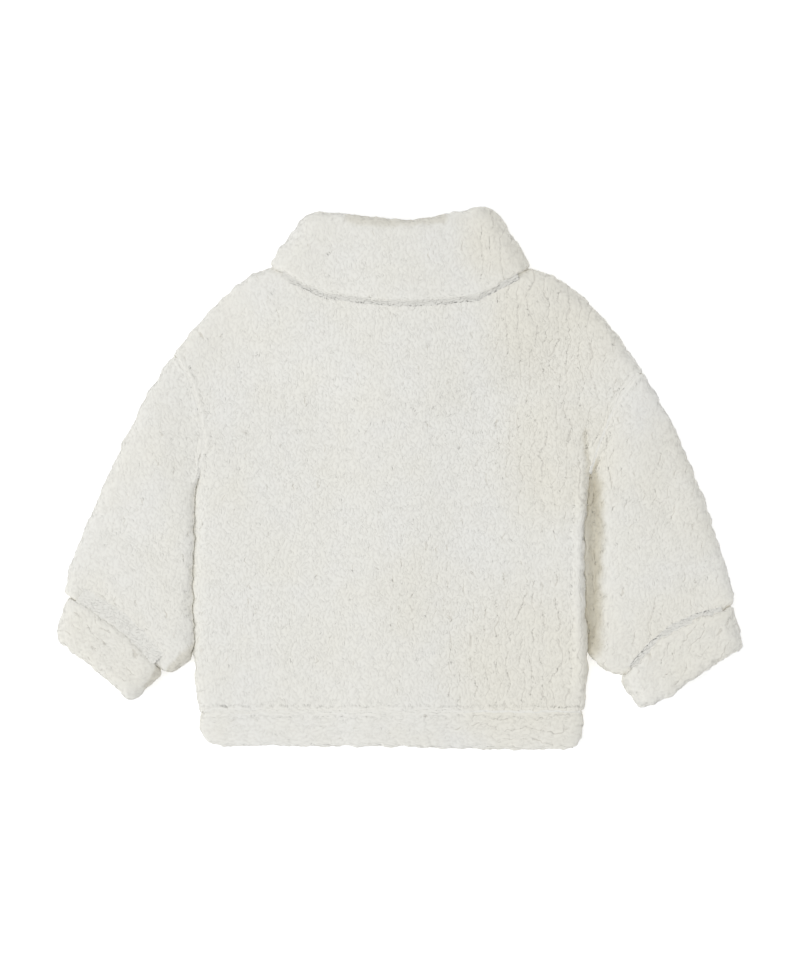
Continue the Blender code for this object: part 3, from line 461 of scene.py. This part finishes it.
def curl_shape():
    """One curl: a bent lock of fibres that rises from the ground and dips back in."""
    bm = bmesh.new()
    strand = bm.verts.layers.float_vector.new("strand_mm")
    rows = []
    for along, full in ((-1.0, 0.0), (-0.45, 0.8), (0.4, 1.0), (1.0, 0.0)):
        x, y = along * CURL_LENGTH / 2, CURL_BEND * (along * along - 0.3)
        section = ((0.0, -CURL_ROOT),) if full == 0.0 else (
            (-full * CURL_WIDTH / 2, -CURL_ROOT), (0.0, full * CURL_HEIGHT),
            (full * CURL_WIDTH / 2, -CURL_ROOT))
        rows.append([bm.verts.new((x, y + side, high)) for side, high in section])
    for first, second in zip(rows, rows[1:]):
        join_rings(bm, first, second, 3)
    for vertex in bm.verts:
        vertex[strand] = vertex.co
        vertex.co *= MM
    bmesh.ops.recalc_face_normals(bm, faces=bm.faces)
    mesh = mesh_of(bm, "curl")
    mesh.shade_smooth()
    return placed("curl", mesh)


def random_value(tree, least, most, seed, data_type="FLOAT_VECTOR"):
    """A random number or vector for each point."""
    keys = {"FLOAT_VECTOR": (0, 1, 0), "FLOAT": (2, 3, 1), "INT": (4, 5, 2)}[data_type]
    node = add_node(tree, "FunctionNodeRandomValue", {keys[0]: least, keys[1]: most, "Seed": seed},
                    data_type=data_type)
    return node.outputs[keys[2]]


def curls_tree():
    """Geometry nodes that set curls of pile on a piece of cloth, along its grain.

    None stand in a parting, under another piece or on the side that the table
    presses flat. Each is kinked, and laid on the cloth so that it follows its form.
    """
    tree, keys, given = new_tree("pile_curls", (
        ("Cloth", "NodeSocketGeometry"), ("Around", "NodeSocketObject"),
        ("Curl", "NodeSocketObject"), ("Apart", "NodeSocketFloat"),
        ("Grain", "NodeSocketVector"), ("Seed", "NodeSocketInt"),
        ("Finish", "NodeSocketMaterial"),
    ))
    normal = add_node(tree, "GeometryNodeInputNormal").outputs[0]
    cloth = store(tree, given["Cloth"], "cloth_normal", normal, "FLOAT_VECTOR")
    free = step_between(tree, split(tree, normal)[2], *CURL_FACING, kind="LINEAR")
    free = compute(tree, "MULTIPLY", free, stored(tree, "shows"))
    sown = add_node(tree, "GeometryNodeDistributePointsOnFaces",
                    {"Mesh": cloth, "Distance Min": given["Apart"],
                     "Density Max": CURLS_MOST, "Density Factor": free, "Seed": given["Seed"]},
                    distribute_method="POISSON")
    around = add_node(tree, "GeometryNodeObjectInfo", {"Object": given["Around"]}).outputs["Geometry"]
    covered = add_node(tree, "GeometryNodeRaycast",
                       {"Target Geometry": around, "Ray Direction": sown.outputs["Normal"],
                        "Ray Length": CURL_COVERED * MM}).outputs["Is Hit"]
    parting = partings(tree, stored(tree, "cloth_mm", "FLOAT_VECTOR"), stored(tree, "parted"))
    bare = add_node(tree, "FunctionNodeCompare", {0: parting, 1: CURL_PARTED},
                    operation="GREATER_THAN").outputs[0]
    away = add_node(tree, "FunctionNodeBooleanMath", {0: covered, 1: bare}, operation="OR").outputs[0]
    places = add_node(tree, "GeometryNodeDeleteGeometry",
                      {"Geometry": sown.outputs["Points"], "Selection": away}).outputs[0]
    places = store(tree, places, "tint", random_value(tree, 0.0, CURL_TINT, 1, "FLOAT"))
    side = split(tree, stored(tree, "cloth_normal", "FLOAT_VECTOR"))[2]
    side = add_node(tree, "ShaderNodeMapRange",
                    {"Value": compute(tree, "ABSOLUTE", side), "From Min": SIDE_FACING[0],
                     "From Max": SIDE_FACING[1], "To Min": MM, "To Max": CURL_SIDE * MM}).outputs[0]
    height = random_value(tree, CURL_LEAST[2], CURL_MOST[2], 5, "FLOAT")
    places = store(tree, places, "height", compute(tree, "MULTIPLY", height, side))

    along = add_node(tree, "FunctionNodeAlignRotationToVector",
                     {"Rotation": sown.outputs["Rotation"], "Vector": given["Grain"]},
                     axis="X", pivot_axis="Z").outputs[0]
    half_turn = compute(tree, "MULTIPLY", random_value(tree, 0, 1, 2, "INT"), math.pi)
    half_turn = add_node(tree, "ShaderNodeCombineXYZ", {2: half_turn}).outputs[0]
    turn = random_value(tree, (-CURL_TILT, -CURL_TILT, -CURL_TURN),
                        (CURL_TILT, CURL_TILT, CURL_TURN), 3)
    along = add_node(tree, "FunctionNodeRotateRotation",
                     {"Rotation": along, "Rotate By": combine(tree, "ADD", turn, half_turn)},
                     rotation_space="LOCAL").outputs[0]
    curl = add_node(tree, "GeometryNodeObjectInfo", {"Object": given["Curl"]}).outputs["Geometry"]
    curls = add_node(tree, "GeometryNodeInstanceOnPoints",
                     {"Points": places, "Instance": curl, "Rotation": along,
                      "Scale": random_value(tree, CURL_LEAST, CURL_MOST, 4)}).outputs[0]
    curls = add_node(tree, "GeometryNodeRealizeInstances", {"Geometry": curls}).outputs[0]

    position = add_node(tree, "GeometryNodeInputPosition").outputs[0]
    pitch, reach = CURL_KINK
    kinked = offset_by_noise(tree, position, pitch * MM, tuple(part * MM for part in reach))
    under = add_node(tree, "GeometryNodeProximity", {"Geometry": cloth, "Source Position": kinked},
                     target_element="FACES").outputs["Position"]
    upward = add_node(tree, "GeometryNodeSampleNearestSurface",
                      {"Mesh": cloth, "Value": stored(tree, "cloth_normal", "FLOAT_VECTOR"),
                       "Sample Position": kinked}, data_type="FLOAT_VECTOR").outputs["Value"]
    high = split(tree, stored(tree, "strand_mm", "FLOAT_VECTOR"))[2]
    high = compute(tree, "MULTIPLY", high, stored(tree, "height"))
    laid = combine(tree, "ADD", combine(tree, "MULTIPLY", upward, high), under)
    laid = combine(tree, "MAXIMUM", laid, ABOVE_TABLE)
    curls = add_node(tree, "GeometryNodeSetPosition", {"Geometry": curls, "Position": laid})
    end_tree(tree, curls.outputs[0], given["Finish"])
    return tree, keys


pile_ground, ground_keys = ground_tree()
pile_curls, curl_keys = curls_tree()
curl = curl_shape()


FOLD_TAPER = (0.75, 1.25)   # times a fold's half width, at its start and its end
FOLD_FADE = 0.3         # share of a fold's length over which it fades out at an end
FOLD_EDGE = 1.6         # times its half width, where a fold has died away
TOP_GAIN = 1.5          # how fast a fold grows with how far up the cloth faces
PATCH_EDGE = 1.5        # times the reach of a patch, where it has died away
SEWN_EDGE = 1.6         # times a seam's reach, where the room beside it counts in full


def ease(value):
    """A soft step from 0 to 1."""
    value = np.clip(value, 0.0, 1.0)
    return value * value * (3.0 - 2.0 * value)


def distance_to(path, points):
    """Shortest distance from each point to a path."""
    best = np.full(len(points), 1e9)
    for start, end in zip(np.array(path[:-1]), np.array(path[1:])):
        way = end - start
        share = np.clip((points - start) @ way / (way @ way), 0.0, 1.0)
        best = np.minimum(best, np.linalg.norm(points - start - share[:, None] * way, axis=1))
    return best


def shape_cloth(mesh, folds, painted_shade):
    """Press soft troughs and ridges into the upper side of a mesh, and fill its seams.

    Each row of folds has the two ends of a line, its half width, its height and how
    far it bends; a trough's height is below zero. It fades out at its ends. Each row
    of the lines of painted shade has the ends and half width of a line along which
    shade is painted into the colour of the pile, and how dark it is painted.
    """
    count = len(mesh.vertices)
    places = np.empty(count * 3)
    mesh.vertices.foreach_get("co", places)
    places = places.reshape(-1, 3)
    facing = np.empty(count * 3)
    mesh.vertex_normals.foreach_get("vector", facing)
    facing = facing.reshape(-1, 3)[:, 2]
    plan = places[:, :2] / MM
    total = np.zeros(count)
    for x0, y0, x1, y1, half_width, height, bend in folds:
        start, way = np.array([x0, y0]), np.array([x1 - x0, y1 - y0])
        length = np.linalg.norm(way)
        way = way / length
        along = (plan - start) @ way / length
        side = (plan - start) @ np.array([-way[1], way[0]])
        side = side - bend * np.sin(math.pi * np.clip(along, 0.0, 1.0))
        width = half_width * np.interp(along, (0.0, 1.0), FOLD_TAPER)
        fade = ease(along / FOLD_FADE + 0.5) * ease((1.0 - along) / FOLD_FADE + 0.5)
        total += height * fade * ease(1.0 - np.abs(side) / width / FOLD_EDGE)
    nearest = np.min([distance_to(path, plan) for path in SEAMS], axis=0)
    total += SEAM_RIDGE * ease(1.0 - nearest / SEAM_REACH)
    places[:, 2] += total * MM * ease(facing * TOP_GAIN)
    mesh.vertices.foreach_set("co", places.ravel())
    parted = np.full(count, PARTED_LEAST)
    for x, y, reach, amount in PARTED:
        away = np.linalg.norm(plan - (x, y), axis=1) / reach
        parted = np.maximum(parted, amount * ease(PATCH_EDGE - away))
    # Painted shade: how far the colour is darkened along each line, for the shade that falls there.
    shade = np.zeros(count)
    for x0, y0, x1, y1, half_width, amount in painted_shade:
        away = distance_to(((x0, y0), (x1, y1)), plan) / half_width
        shade = np.maximum(shade, amount * ease(PATCH_EDGE - away))
    sewn = ease(SEWN_EDGE - nearest / SEAM_REACH) * (facing > 0.0)
    for label, values in (("parted", parted), ("shade", shade), ("sewn", sewn)):
        kept = mesh.attributes.new(label, "FLOAT", "POINT")
        kept.data.foreach_set("value", values)
    mesh.update()


def grown(item, name, tree, keys, values):
    """The mesh that a tree of geometry nodes makes of an object."""
    change = item.modifiers.new(name, "NODES")
    change.node_group = tree
    for label, value in values.items():
        change[keys[label]] = value
    mesh = shape_of(item)
    item.modifiers.remove(change)
    mesh.name = name
    return mesh


def make_cloth(name, seed, grain=0.0, spacing=PILE_SPACING, folds=(), painted_shade=()):
    """One piece of the jacket in curled pile, on the form of its solid.

    grain is in degrees, and says how far the pile's direction is turned from +Y.
    """
    mesh = divided(smooth_solids[name], spacing)
    shape_cloth(mesh, folds, painted_shade)
    ground = placed(name + "_sherpa", mesh)
    bm = bmesh.new()
    for other, solid in smooth_solids.items():
        if other != name:
            bm.from_mesh(solid)
    neighbours = mesh_of(bm, "around_" + name)
    around = placed("around_" + name, neighbours)
    angle = math.radians(grain)
    ground.data = grown(ground, name + "_sherpa", pile_ground, ground_keys, {
        "Around": around, "Grain Angle": angle, "Rise": PILE_RISE, "Depth": PILE_DEPTH,
        "Seed": seed * 100.0, "Finish": sherpa})
    curls = grown(ground, name + "_curls", pile_curls, curl_keys, {
        "Around": around, "Curl": curl, "Apart": CURLS_APART * MM,
        "Grain": (math.sin(angle), math.cos(angle), 0.0), "Seed": seed, "Finish": sherpa})
    curls = placed(name + "_curls", curls)
    bpy.data.meshes.remove(mesh)
    bpy.data.objects.remove(around)
    bpy.data.meshes.remove(neighbours)
    for item in (ground, curls):
        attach(item, "root")
    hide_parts(name)
    return ground, curls


BACK_FOLDS = (
    # x0, y0, x1, y1, half width, height, bend
    (118.0, 70.0, 136.0, -30.0, 13.0, 0.8, 4.0),
    (146.0, 0.0, 145.5, -176.0, 5.0, 2.8, -1.5),
    (-128.0, 120.0, -60.0, 96.0, 16.0, -0.6, 5.0),
    (66.0, 116.0, 134.0, 92.0, 16.0, -0.7, -5.0),
    (-40.0, -60.0, 30.0, -96.0, 22.0, -0.5, 6.0),
    (148.0, 40.0, 151.0, 4.0, 3.0, -1.2, 0.0),
)
# Painted shade at the foot of the right armhole, where the valley beside the body starts.
BACK_PAINTED_SHADE = (
    # x0, y0, x1, y1, half width, how dark
    (148.0, 38.0, 151.0, 4.0, 2.0, 0.45),
)
back, back_curls = make_cloth("back", seed=1, folds=BACK_FOLDS, painted_shade=BACK_PAINTED_SHADE)

# ==============================================================================
# The two fronts
#
# Each is one panel of the same sherpa. They lie on the table under the back, the
# wearer's left one over the right one at the middle when it is worn.
# ==============================================================================

for name, seed in (("front_left", 2), ("front_right", 3)):
    front, front_curls = make_cloth(name, seed, spacing=3.0)

# ==============================================================================
# The sleeves
#
# Two tubes of sherpa, sewn into the armholes, lying flattened beside the body.
# ==============================================================================

SLEEVE_LEFT_FOLDS = (
    # x0, y0, x1, y1, half width, height, bend
    (-232.0, -40.0, -186.0, -62.0, 9.0, -0.9, 3.0),
)
SLEEVE_RIGHT_FOLDS = (
    # x0, y0, x1, y1, half width, height, bend
    (176.0, -8.0, 222.0, -32.0, 9.0, -1.0, 3.0),
    (156.0, 4.0, 154.0, -134.0, 7.5, -5.0, 2.0),
)
# Painted shade on the lower corner of the left sleeve by the body, on its side away from the light.
SLEEVE_LEFT_PAINTED_SHADE = (
    # x0, y0, x1, y1, half width, how dark
    (-184.0, -154.0, -163.0, -133.0, 3.5, 0.4),
)
# Painted shadow in the valley between the body and the right sleeve, where the body's edge shades the
# sleeve.
SLEEVE_RIGHT_PAINTED_SHADE = (
    # x0, y0, x1, y1, half width, how dark
    (151.0, 32.0, 153.0, 14.0, 2.5, 0.5),
    (153.5, 14.0, 156.0, -6.0, 4.5, 0.65),
    (156.5, -6.0, 155.0, -134.0, 7.0, 0.7),
)
for name, seed, grain, folds, painted_shade, flat, area in (
    ("sleeve_left", 4, -12.0, SLEEVE_LEFT_FOLDS, SLEEVE_LEFT_PAINTED_SHADE, (0.200, 0.215), 0.0350),
    ("sleeve_right", 5, 13.0, SLEEVE_RIGHT_FOLDS, SLEEVE_RIGHT_PAINTED_SHADE, (0.210, 0.220), 0.0390),
):
    sleeve, sleeve_curls = make_cloth(name, seed, grain, folds=folds, painted_shade=painted_shade)

# ==============================================================================
# The collar
#
# One wide band of sherpa, sewn round the neck and turned down over the shoulders.
# ==============================================================================

# Painted shade along the top of the collar, where its rim rolls over.
COLLAR_PAINTED_SHADE = (
    # x0, y0, x1, y1, half width, how dark
    (-38.0, 208.0, -4.0, 205.0, 5.0, 0.35),
    (-4.0, 205.0, 34.0, 208.0, 5.0, 0.35),
)
collar, collar_curls = make_cloth("collar", seed=6, painted_shade=COLLAR_PAINTED_SHADE)

# ==============================================================================
# The cuffs
#
# Two short bands of sherpa, sewn on inside the sleeves and turned back up them.
# ==============================================================================

# Painted shade on the lower end of the left cuff, on its side away from the light.
CUFF_LEFT_PAINTED_SHADE = (
    # x0, y0, x1, y1, half width, how dark
    (-202.0, -168.0, -191.0, -149.0, 3.0, 0.4),
)
for name, seed, grain, painted_shade, flat, area, sleeve_name in (
    ("cuff_left", 7, -45.0, CUFF_LEFT_PAINTED_SHADE, (0.170, 0.056), 0.0090, "sleeve_left_sherpa"),
    ("cuff_right", 8, 30.0, (), (0.190, 0.058), 0.0108, "sleeve_right_sherpa"),
):
    cuff, cuff_curls = make_cloth(name, seed, grain, spacing=2.0, painted_shade=painted_shade)

# ==============================================================================
# The hem band
#
# One strip of sherpa, sewn to the lower edge of the back and the fronts.
# ==============================================================================

hem_band, hem_curls = make_cloth("hem_band", seed=9, grain=90.0)

# ==============================================================================
# The pile over the seams
#
# The curls of the pieces on both sides of a seam are brushed out over it and hide
# its stitches.
# ==============================================================================

SEAM_STRIP = 2.4        # mm, half the width of a strip over a seam
STRIP_STEP = 3.0        # mm, between two rings of a strip
STRIP_DEEP = 1.5        # mm, down into the cloth on both sides
STRIP_TUCK = 0.9        # mm, its edges below the pile
STRIP_NEAR = 0.9        # mm, its middle lies as high as the cloth this close to it
STRIP_SHARP = 55.0      # degrees, from which an edge of it isn't rounded
ABOVE_CLOTH = 80.0      # mm, where the search for the cloth's top starts
SEAM_CURLS_APART = 1.8  # mm, closer than elsewhere
SEAM_GRAIN = (1.0, 0.3, 0.0)  # way that most of the curls there lie

# The free edges of the collar and the cuffs, where the pile closes the step down, and
# half the width of their strips.
EDGES = (
    (((-92.5, 164.3), (-61.0, 149.3), (-32.2, 144.8), (-0.9, 141.8), (29.6, 143.2),
      (61.6, 146.6), (94.0, 163.4)), 5.0),
    (((-254.5, -92.5), (-250.6, -95.3), (-238.3, -103.4), (-225.2, -111.6), (-210.6, -125.4),
      (-196.2, -141.0), (-193.0, -144.5)), 10.0),
    (((258.0, -106.3), (238.7, -111.5), (219.9, -119.6), (202.9, -133.8), (186.8, -151.7)), 6.0),
)


def top_at(tops, place, reach=0.0):
    """The highest point of the cloth within reach of a place, in mm, or else 0."""
    best = 0.0
    for x, y in ((0, 0), (1, 0), (-1, 0), (0, 1), (0, -1)):
        start = Vector((place.x + x * reach, place.y + y * reach, ABOVE_CLOTH)) * MM
        hit = tops.ray_cast(start, Vector((0, 0, -1)))[0]
        best = max(best, hit.z / MM if hit else 0.0)
    return best


def strip_ring(tops, middle, side):
    """The points of one ring of a strip, five over the cloth and three under them.

    side leads from the middle to an edge. The ring is left out, and None given, where
    an edge would be beside the cloth.
    """
    places = [middle + side * share for share in (-1.0, -0.5, 0.0, 0.5, 1.0)]
    low, high = [top_at(tops, place) - STRIP_TUCK for place in places[::4]]
    if min(low, high) < 0.0:
        return None
    ramp = [low + (high - low) * share for share in (0.25, 0.5, 0.75)]
    tops_here = [top_at(tops, place, STRIP_NEAR) for place in places[1:4]]
    heights = [low] + [max(pair) for pair in zip(tops_here, ramp)] + [high]
    ring = list(zip(places, heights))
    ring += [(place, max(0.0, height - STRIP_DEEP)) for place, height in ring[::-2]]
    return [Vector((*place, height)) * MM for place, height in ring]


def strips_on_top(paths, pieces):
    """Soft strips of pile along the paths, laid on top of the pieces.

    Each row of paths has the points of a line and half the width of its strip. A
    strip bridges the groove or the step between its two edges, which are tucked in.
    """
    tops = search_tree([piece.data for piece in pieces])
    bm = bmesh.new()
    shows = bm.verts.layers.float.new("shows")
    for path, half_width in paths:
        rings = []
        for start, end in zip(path, path[1:]):
            start, end = Vector(start), Vector(end)
            side = (end - start).normalized()
            side = Vector((-side.y, side.x)) * half_width
            steps = max(1, round((end - start).length / STRIP_STEP))
            for step in range(steps + (end == Vector(path[-1]))):
                ring = strip_ring(tops, start.lerp(end, step / steps), side)
                if ring:
                    rings.append([bm.verts.new(point) for point in ring])
        for ring in rings:
            for vertex in ring[:5]:
                vertex[shows] = 1.0
        for first, second in zip(rings, rings[1:]):
            for index in range(8):
                after = (index + 1) % 8
                bm.faces.new((first[index], second[index], second[after], first[after]))
        bm.faces.new(rings[0])
        bm.faces.new(rings[-1][::-1])
    bmesh.ops.recalc_face_normals(bm, faces=bm.faces)
    for _ in range(3):
        bmesh.ops.smooth_vert(bm, verts=bm.verts, factor=0.5, use_axis_z=True)
    for face in bm.faces:
        face.smooth = True
    mesh = mesh_of(bm, "seam_pile")
    mesh.set_sharp_from_angle(angle=math.radians(STRIP_SHARP))
    kept = mesh.attributes.new("parted", "FLOAT", "POINT")
    kept.data.foreach_set("value", [PARTED_LEAST] * len(mesh.vertices))
    mesh.materials.append(sherpa)
    return placed("seam_pile", mesh)


seam_pile = strips_on_top(
    [(path, SEAM_STRIP) for path in SEAMS] + list(EDGES),
    [bpy.data.objects[name + "_sherpa"] for name in CLOTH_PIECES])
clear = placed("clear", bpy.data.meshes.new("clear"))
seam_curls = grown(seam_pile, "seam_curls", pile_curls, curl_keys, {
    "Around": clear, "Curl": curl, "Apart": SEAM_CURLS_APART * MM, "Grain": SEAM_GRAIN,
    "Seed": 10, "Finish": sherpa})
# The pile stands up along a seam, so it takes the light like flat cloth.
for mesh in (seam_pile.data, seam_curls):
    lit = mesh.attributes.get("cloth_normal")
    lit = lit or mesh.attributes.new("cloth_normal", "FLOAT_VECTOR", "POINT")
    lit.data.foreach_set("vector", [0.0, 0.0, 1.0] * len(mesh.vertices))
seam_curls = placed("seam_curls", seam_curls)
for item in (seam_pile, seam_curls):
    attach(item, "root")
for item in (clear, curl):
    bpy.data.objects.remove(item)

# ==============================================================================
# The buttons
#
# Four flat sew-through buttons of moulded polyester, facing the table. Each has a
# rolled rim, a shallow dish and four holes, and is sewn on with two bars of thread.
# ==============================================================================

BUTTON_PROFILE = (
    # radius and height, from the middle of the face round to the back, in mm
    (0.0, 0.95), (5.9, 0.95), (6.6, 0.75), (7.3, 0.38), (8.0, 0.32), (8.6, 0.55),
    (8.9, 1.0), (9.0, 1.5), (8.9, 2.1), (8.4, 2.6), (0.0, 2.7),
)
BUTTON_STEPS = 48       # sides of its circle
BUTTON_CLOUD = 6.0      # mm, pitch of the cloud in its colour
BUTTON_TURN = 0.3       # radians, from one button to the next
BUTTON_SHARP = 40.0     # degrees, from which an edge of it isn't rounded
HOLE_RADIUS = 0.95      # mm, of the holes for the thread
HOLE_STEPS = 16         # sides of a hole
DRILL_PROFILE = ((0.0, -1.0), (HOLE_RADIUS, -1.0), (HOLE_RADIUS, 4.0), (0.0, 4.0))
HOLE_OUT = 1.7          # mm, across and along from the middle
THREAD_RADIUS = 0.38    # mm, of the strands side by side
THREAD_PATH = (
    # across and height, in mm, from one hole over the face to the other
    (-1.7, 2.3), (-1.65, 1.0), (-1.2, 0.6), (0.0, 0.5), (1.2, 0.6), (1.65, 1.0), (1.7, 2.3),
)


def button_material():
    """Moulded polyester button, bone coloured, with a soft gloss and faint cloud."""
    material = bpy.data.materials.new("moulded_polyester")
    material.use_nodes = True
    tree = material.node_tree
    surface = tree.nodes["Principled BSDF"]
    surface.inputs["Roughness"].default_value = 0.35
    place = add_node(tree, "ShaderNodeTexCoord").outputs["Object"]
    cloud = noise(tree, place, 1 / (BUTTON_CLOUD * MM), 3.0)
    colour = mixed(tree, cloud, linear("#e6dfcf"), linear("#d8cfba"))
    tree.links.new(colour, surface.inputs["Base Color"])
    return material


def thread_material():
    """Spun polyester sewing thread, off-white and matt."""
    material = bpy.data.materials.new("polyester_thread")
    material.use_nodes = True
    surface = material.node_tree.nodes["Principled BSDF"]
    surface.inputs["Base Color"].default_value = linear("#efe9dc")
    surface.inputs["Roughness"].default_value = 0.8
    return material


def turned(profile, steps, place=(0.0, 0.0)):
    """A closed mesh turned round an upright axis through a place."""
    bm = bmesh.new()
    rings = []
    for radius, height in profile:
        count = steps if radius else 1
        rings.append([bm.verts.new(Vector((
            place[0] + radius * math.cos(math.tau * step / steps),
            place[1] + radius * math.sin(math.tau * step / steps), height)) * MM)
            for step in range(count)])
    for first, second in zip(rings, rings[1:]):
        join_rings(bm, first, second, steps)
    bmesh.ops.recalc_face_normals(bm, faces=bm.faces)
    return mesh_of(bm, "turned")


def button_shape():
    """The finer button: the turned disc with four holes cut through it."""
    disc = placed("disc", turned(BUTTON_PROFILE, BUTTON_STEPS))
    drills = []
    for x, y in ((1, 1), (-1, 1), (-1, -1), (1, -1)):
        drill = placed("drill", turned(DRILL_PROFILE, HOLE_STEPS, (x * HOLE_OUT, y * HOLE_OUT)))
        cut = disc.modifiers.new("hole", "BOOLEAN")
        cut.operation = "DIFFERENCE"
        cut.object = drill
        drills.append(drill)
    mesh = shape_of(disc)
    for item in drills + [disc]:
        bpy.data.objects.remove(item)
    mesh.shade_smooth()
    mesh.set_sharp_from_angle(angle=math.radians(BUTTON_SHARP))
    return mesh


def thread_shape():
    """Two bars of thread over the face of a button, their ends down in its holes."""
    line = bpy.data.curves.new("thread", "CURVE")
    line.dimensions = "3D"
    line.bevel_depth = THREAD_RADIUS * MM
    line.bevel_resolution = 2
    line.use_fill_caps = True
    for side in (-HOLE_OUT, HOLE_OUT):
        path = line.splines.new("POLY")
        path.points.add(len(THREAD_PATH) - 1)
        for point, (across, height) in zip(path.points, THREAD_PATH):
            point.co = (across * MM, side * MM, height * MM, 1.0)
    item = placed("thread", line)
    mesh = shape_of(item)
    bpy.data.objects.remove(item)
    mesh.shade_smooth()
    return mesh


fine_button, fine_thread = button_shape(), thread_shape()
fine_button.materials.clear()
fine_button.materials.append(button_material())
fine_thread.materials.clear()
fine_thread.materials.append(thread_material())
for number, name in enumerate(BUTTONS):
    corners = np.array([vertex.co for vertex in smooth_solids[name].vertices])
    middle = (corners.min(axis=0) + corners.max(axis=0)) / 2
    turn = Matrix.Rotation(BUTTON_TURN * number, 4, "Z")
    for shape, label, slot in ((fine_button, name + "_turned", "button_plastic"),
                               (fine_thread, name + "_thread", "pile_cloth")):
        mesh = shape.copy()
        mesh.transform(Matrix.Translation((middle[0], middle[1], 0.0)) @ turn)
        item = placed(label, mesh)
        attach(item, "root")
        if shape is fine_button:
            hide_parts(name)

# ==============================================================================
# The table, the light and the camera
#
# A sheet of plain matt white paper in an evenly lit room, one large softbox from the
# lower left and one from above. The camera looks straight down, at the picture's scale.
# ==============================================================================

PICTURE_SCALE = 0.80 * MM      # of the cloth, for each pixel of the 797 x 958 picture
PICTURE_HEIGHT = 958           # pixels, the long side
LENS = 120.0                   # mm, from so far off that the jacket looks flat
SENSOR = 36.0                  # mm, of the picture's long side
CLOTH_MIDDLE = 12.0 * MM       # height of the cloth that has the picture's scale
CAMERA_PLACE = (-0.5 * MM, 0.5 * MM)  # where the middle of the picture is
TABLE_HALF = 4.0               # metres
TABLE_DOWN = 0.2 * MM          # just under the cloth, so that they don't share a plane

table_mesh = bpy.data.meshes.new("table_top")
corners = [(x * TABLE_HALF, y * TABLE_HALF, -TABLE_DOWN)
           for x, y in ((-1, -1), (1, -1), (1, 1), (-1, 1))]
table_mesh.from_pydata(corners, [], [(0, 1, 2, 3)])
table_top = placed("table_top", table_mesh)
paper = bpy.data.materials.new("matt_white_paper")
paper.use_nodes = True
sheet_of_paper = paper.node_tree.nodes["Principled BSDF"]
sheet_of_paper.inputs["Base Color"].default_value = linear("#fbfbfb")
sheet_of_paper.inputs["Roughness"].default_value = 0.9
sheet_of_paper.inputs["Emission Color"].default_value = (1.0, 1.0, 1.0, 1.0)
sheet_of_paper.inputs["Emission Strength"].default_value = 0.30
table_mesh.materials.append(paper)

world = bpy.data.worlds.new("studio")
bpy.context.scene.world = world
world.use_nodes = True
world.node_tree.nodes["Background"].inputs[0].default_value = linear("#f7f9fc")
world.node_tree.nodes["Background"].inputs[1].default_value = 0.56


def add_softbox(name, place, size, power):
    """A square softbox aimed at the middle of the jacket."""
    lamp = bpy.data.lights.new(name, "AREA")
    lamp.shape = "SQUARE"
    lamp.size = size
    lamp.energy = power
    item = placed(name, lamp)
    item.location = place
    item.rotation_euler = (-Vector(place)).to_track_quat("-Z", "Y").to_euler()
    item.visible_camera = False


add_softbox("key", place=(-3.3, -1.2, 2.9), size=1.6, power=39.0)
add_softbox("fill", place=(-0.3, 0.2, 3.2), size=2.2, power=26.5)

lens = bpy.data.cameras.new("camera")
lens.lens = LENS
lens.sensor_width = SENSOR
camera = placed("camera", lens)
distance = LENS / SENSOR * PICTURE_HEIGHT * PICTURE_SCALE
camera.location = (*CAMERA_PLACE, CLOTH_MIDDLE + distance)
bpy.context.scene.camera = camera
bpy.context.scene.view_settings.view_transform = "Standard"
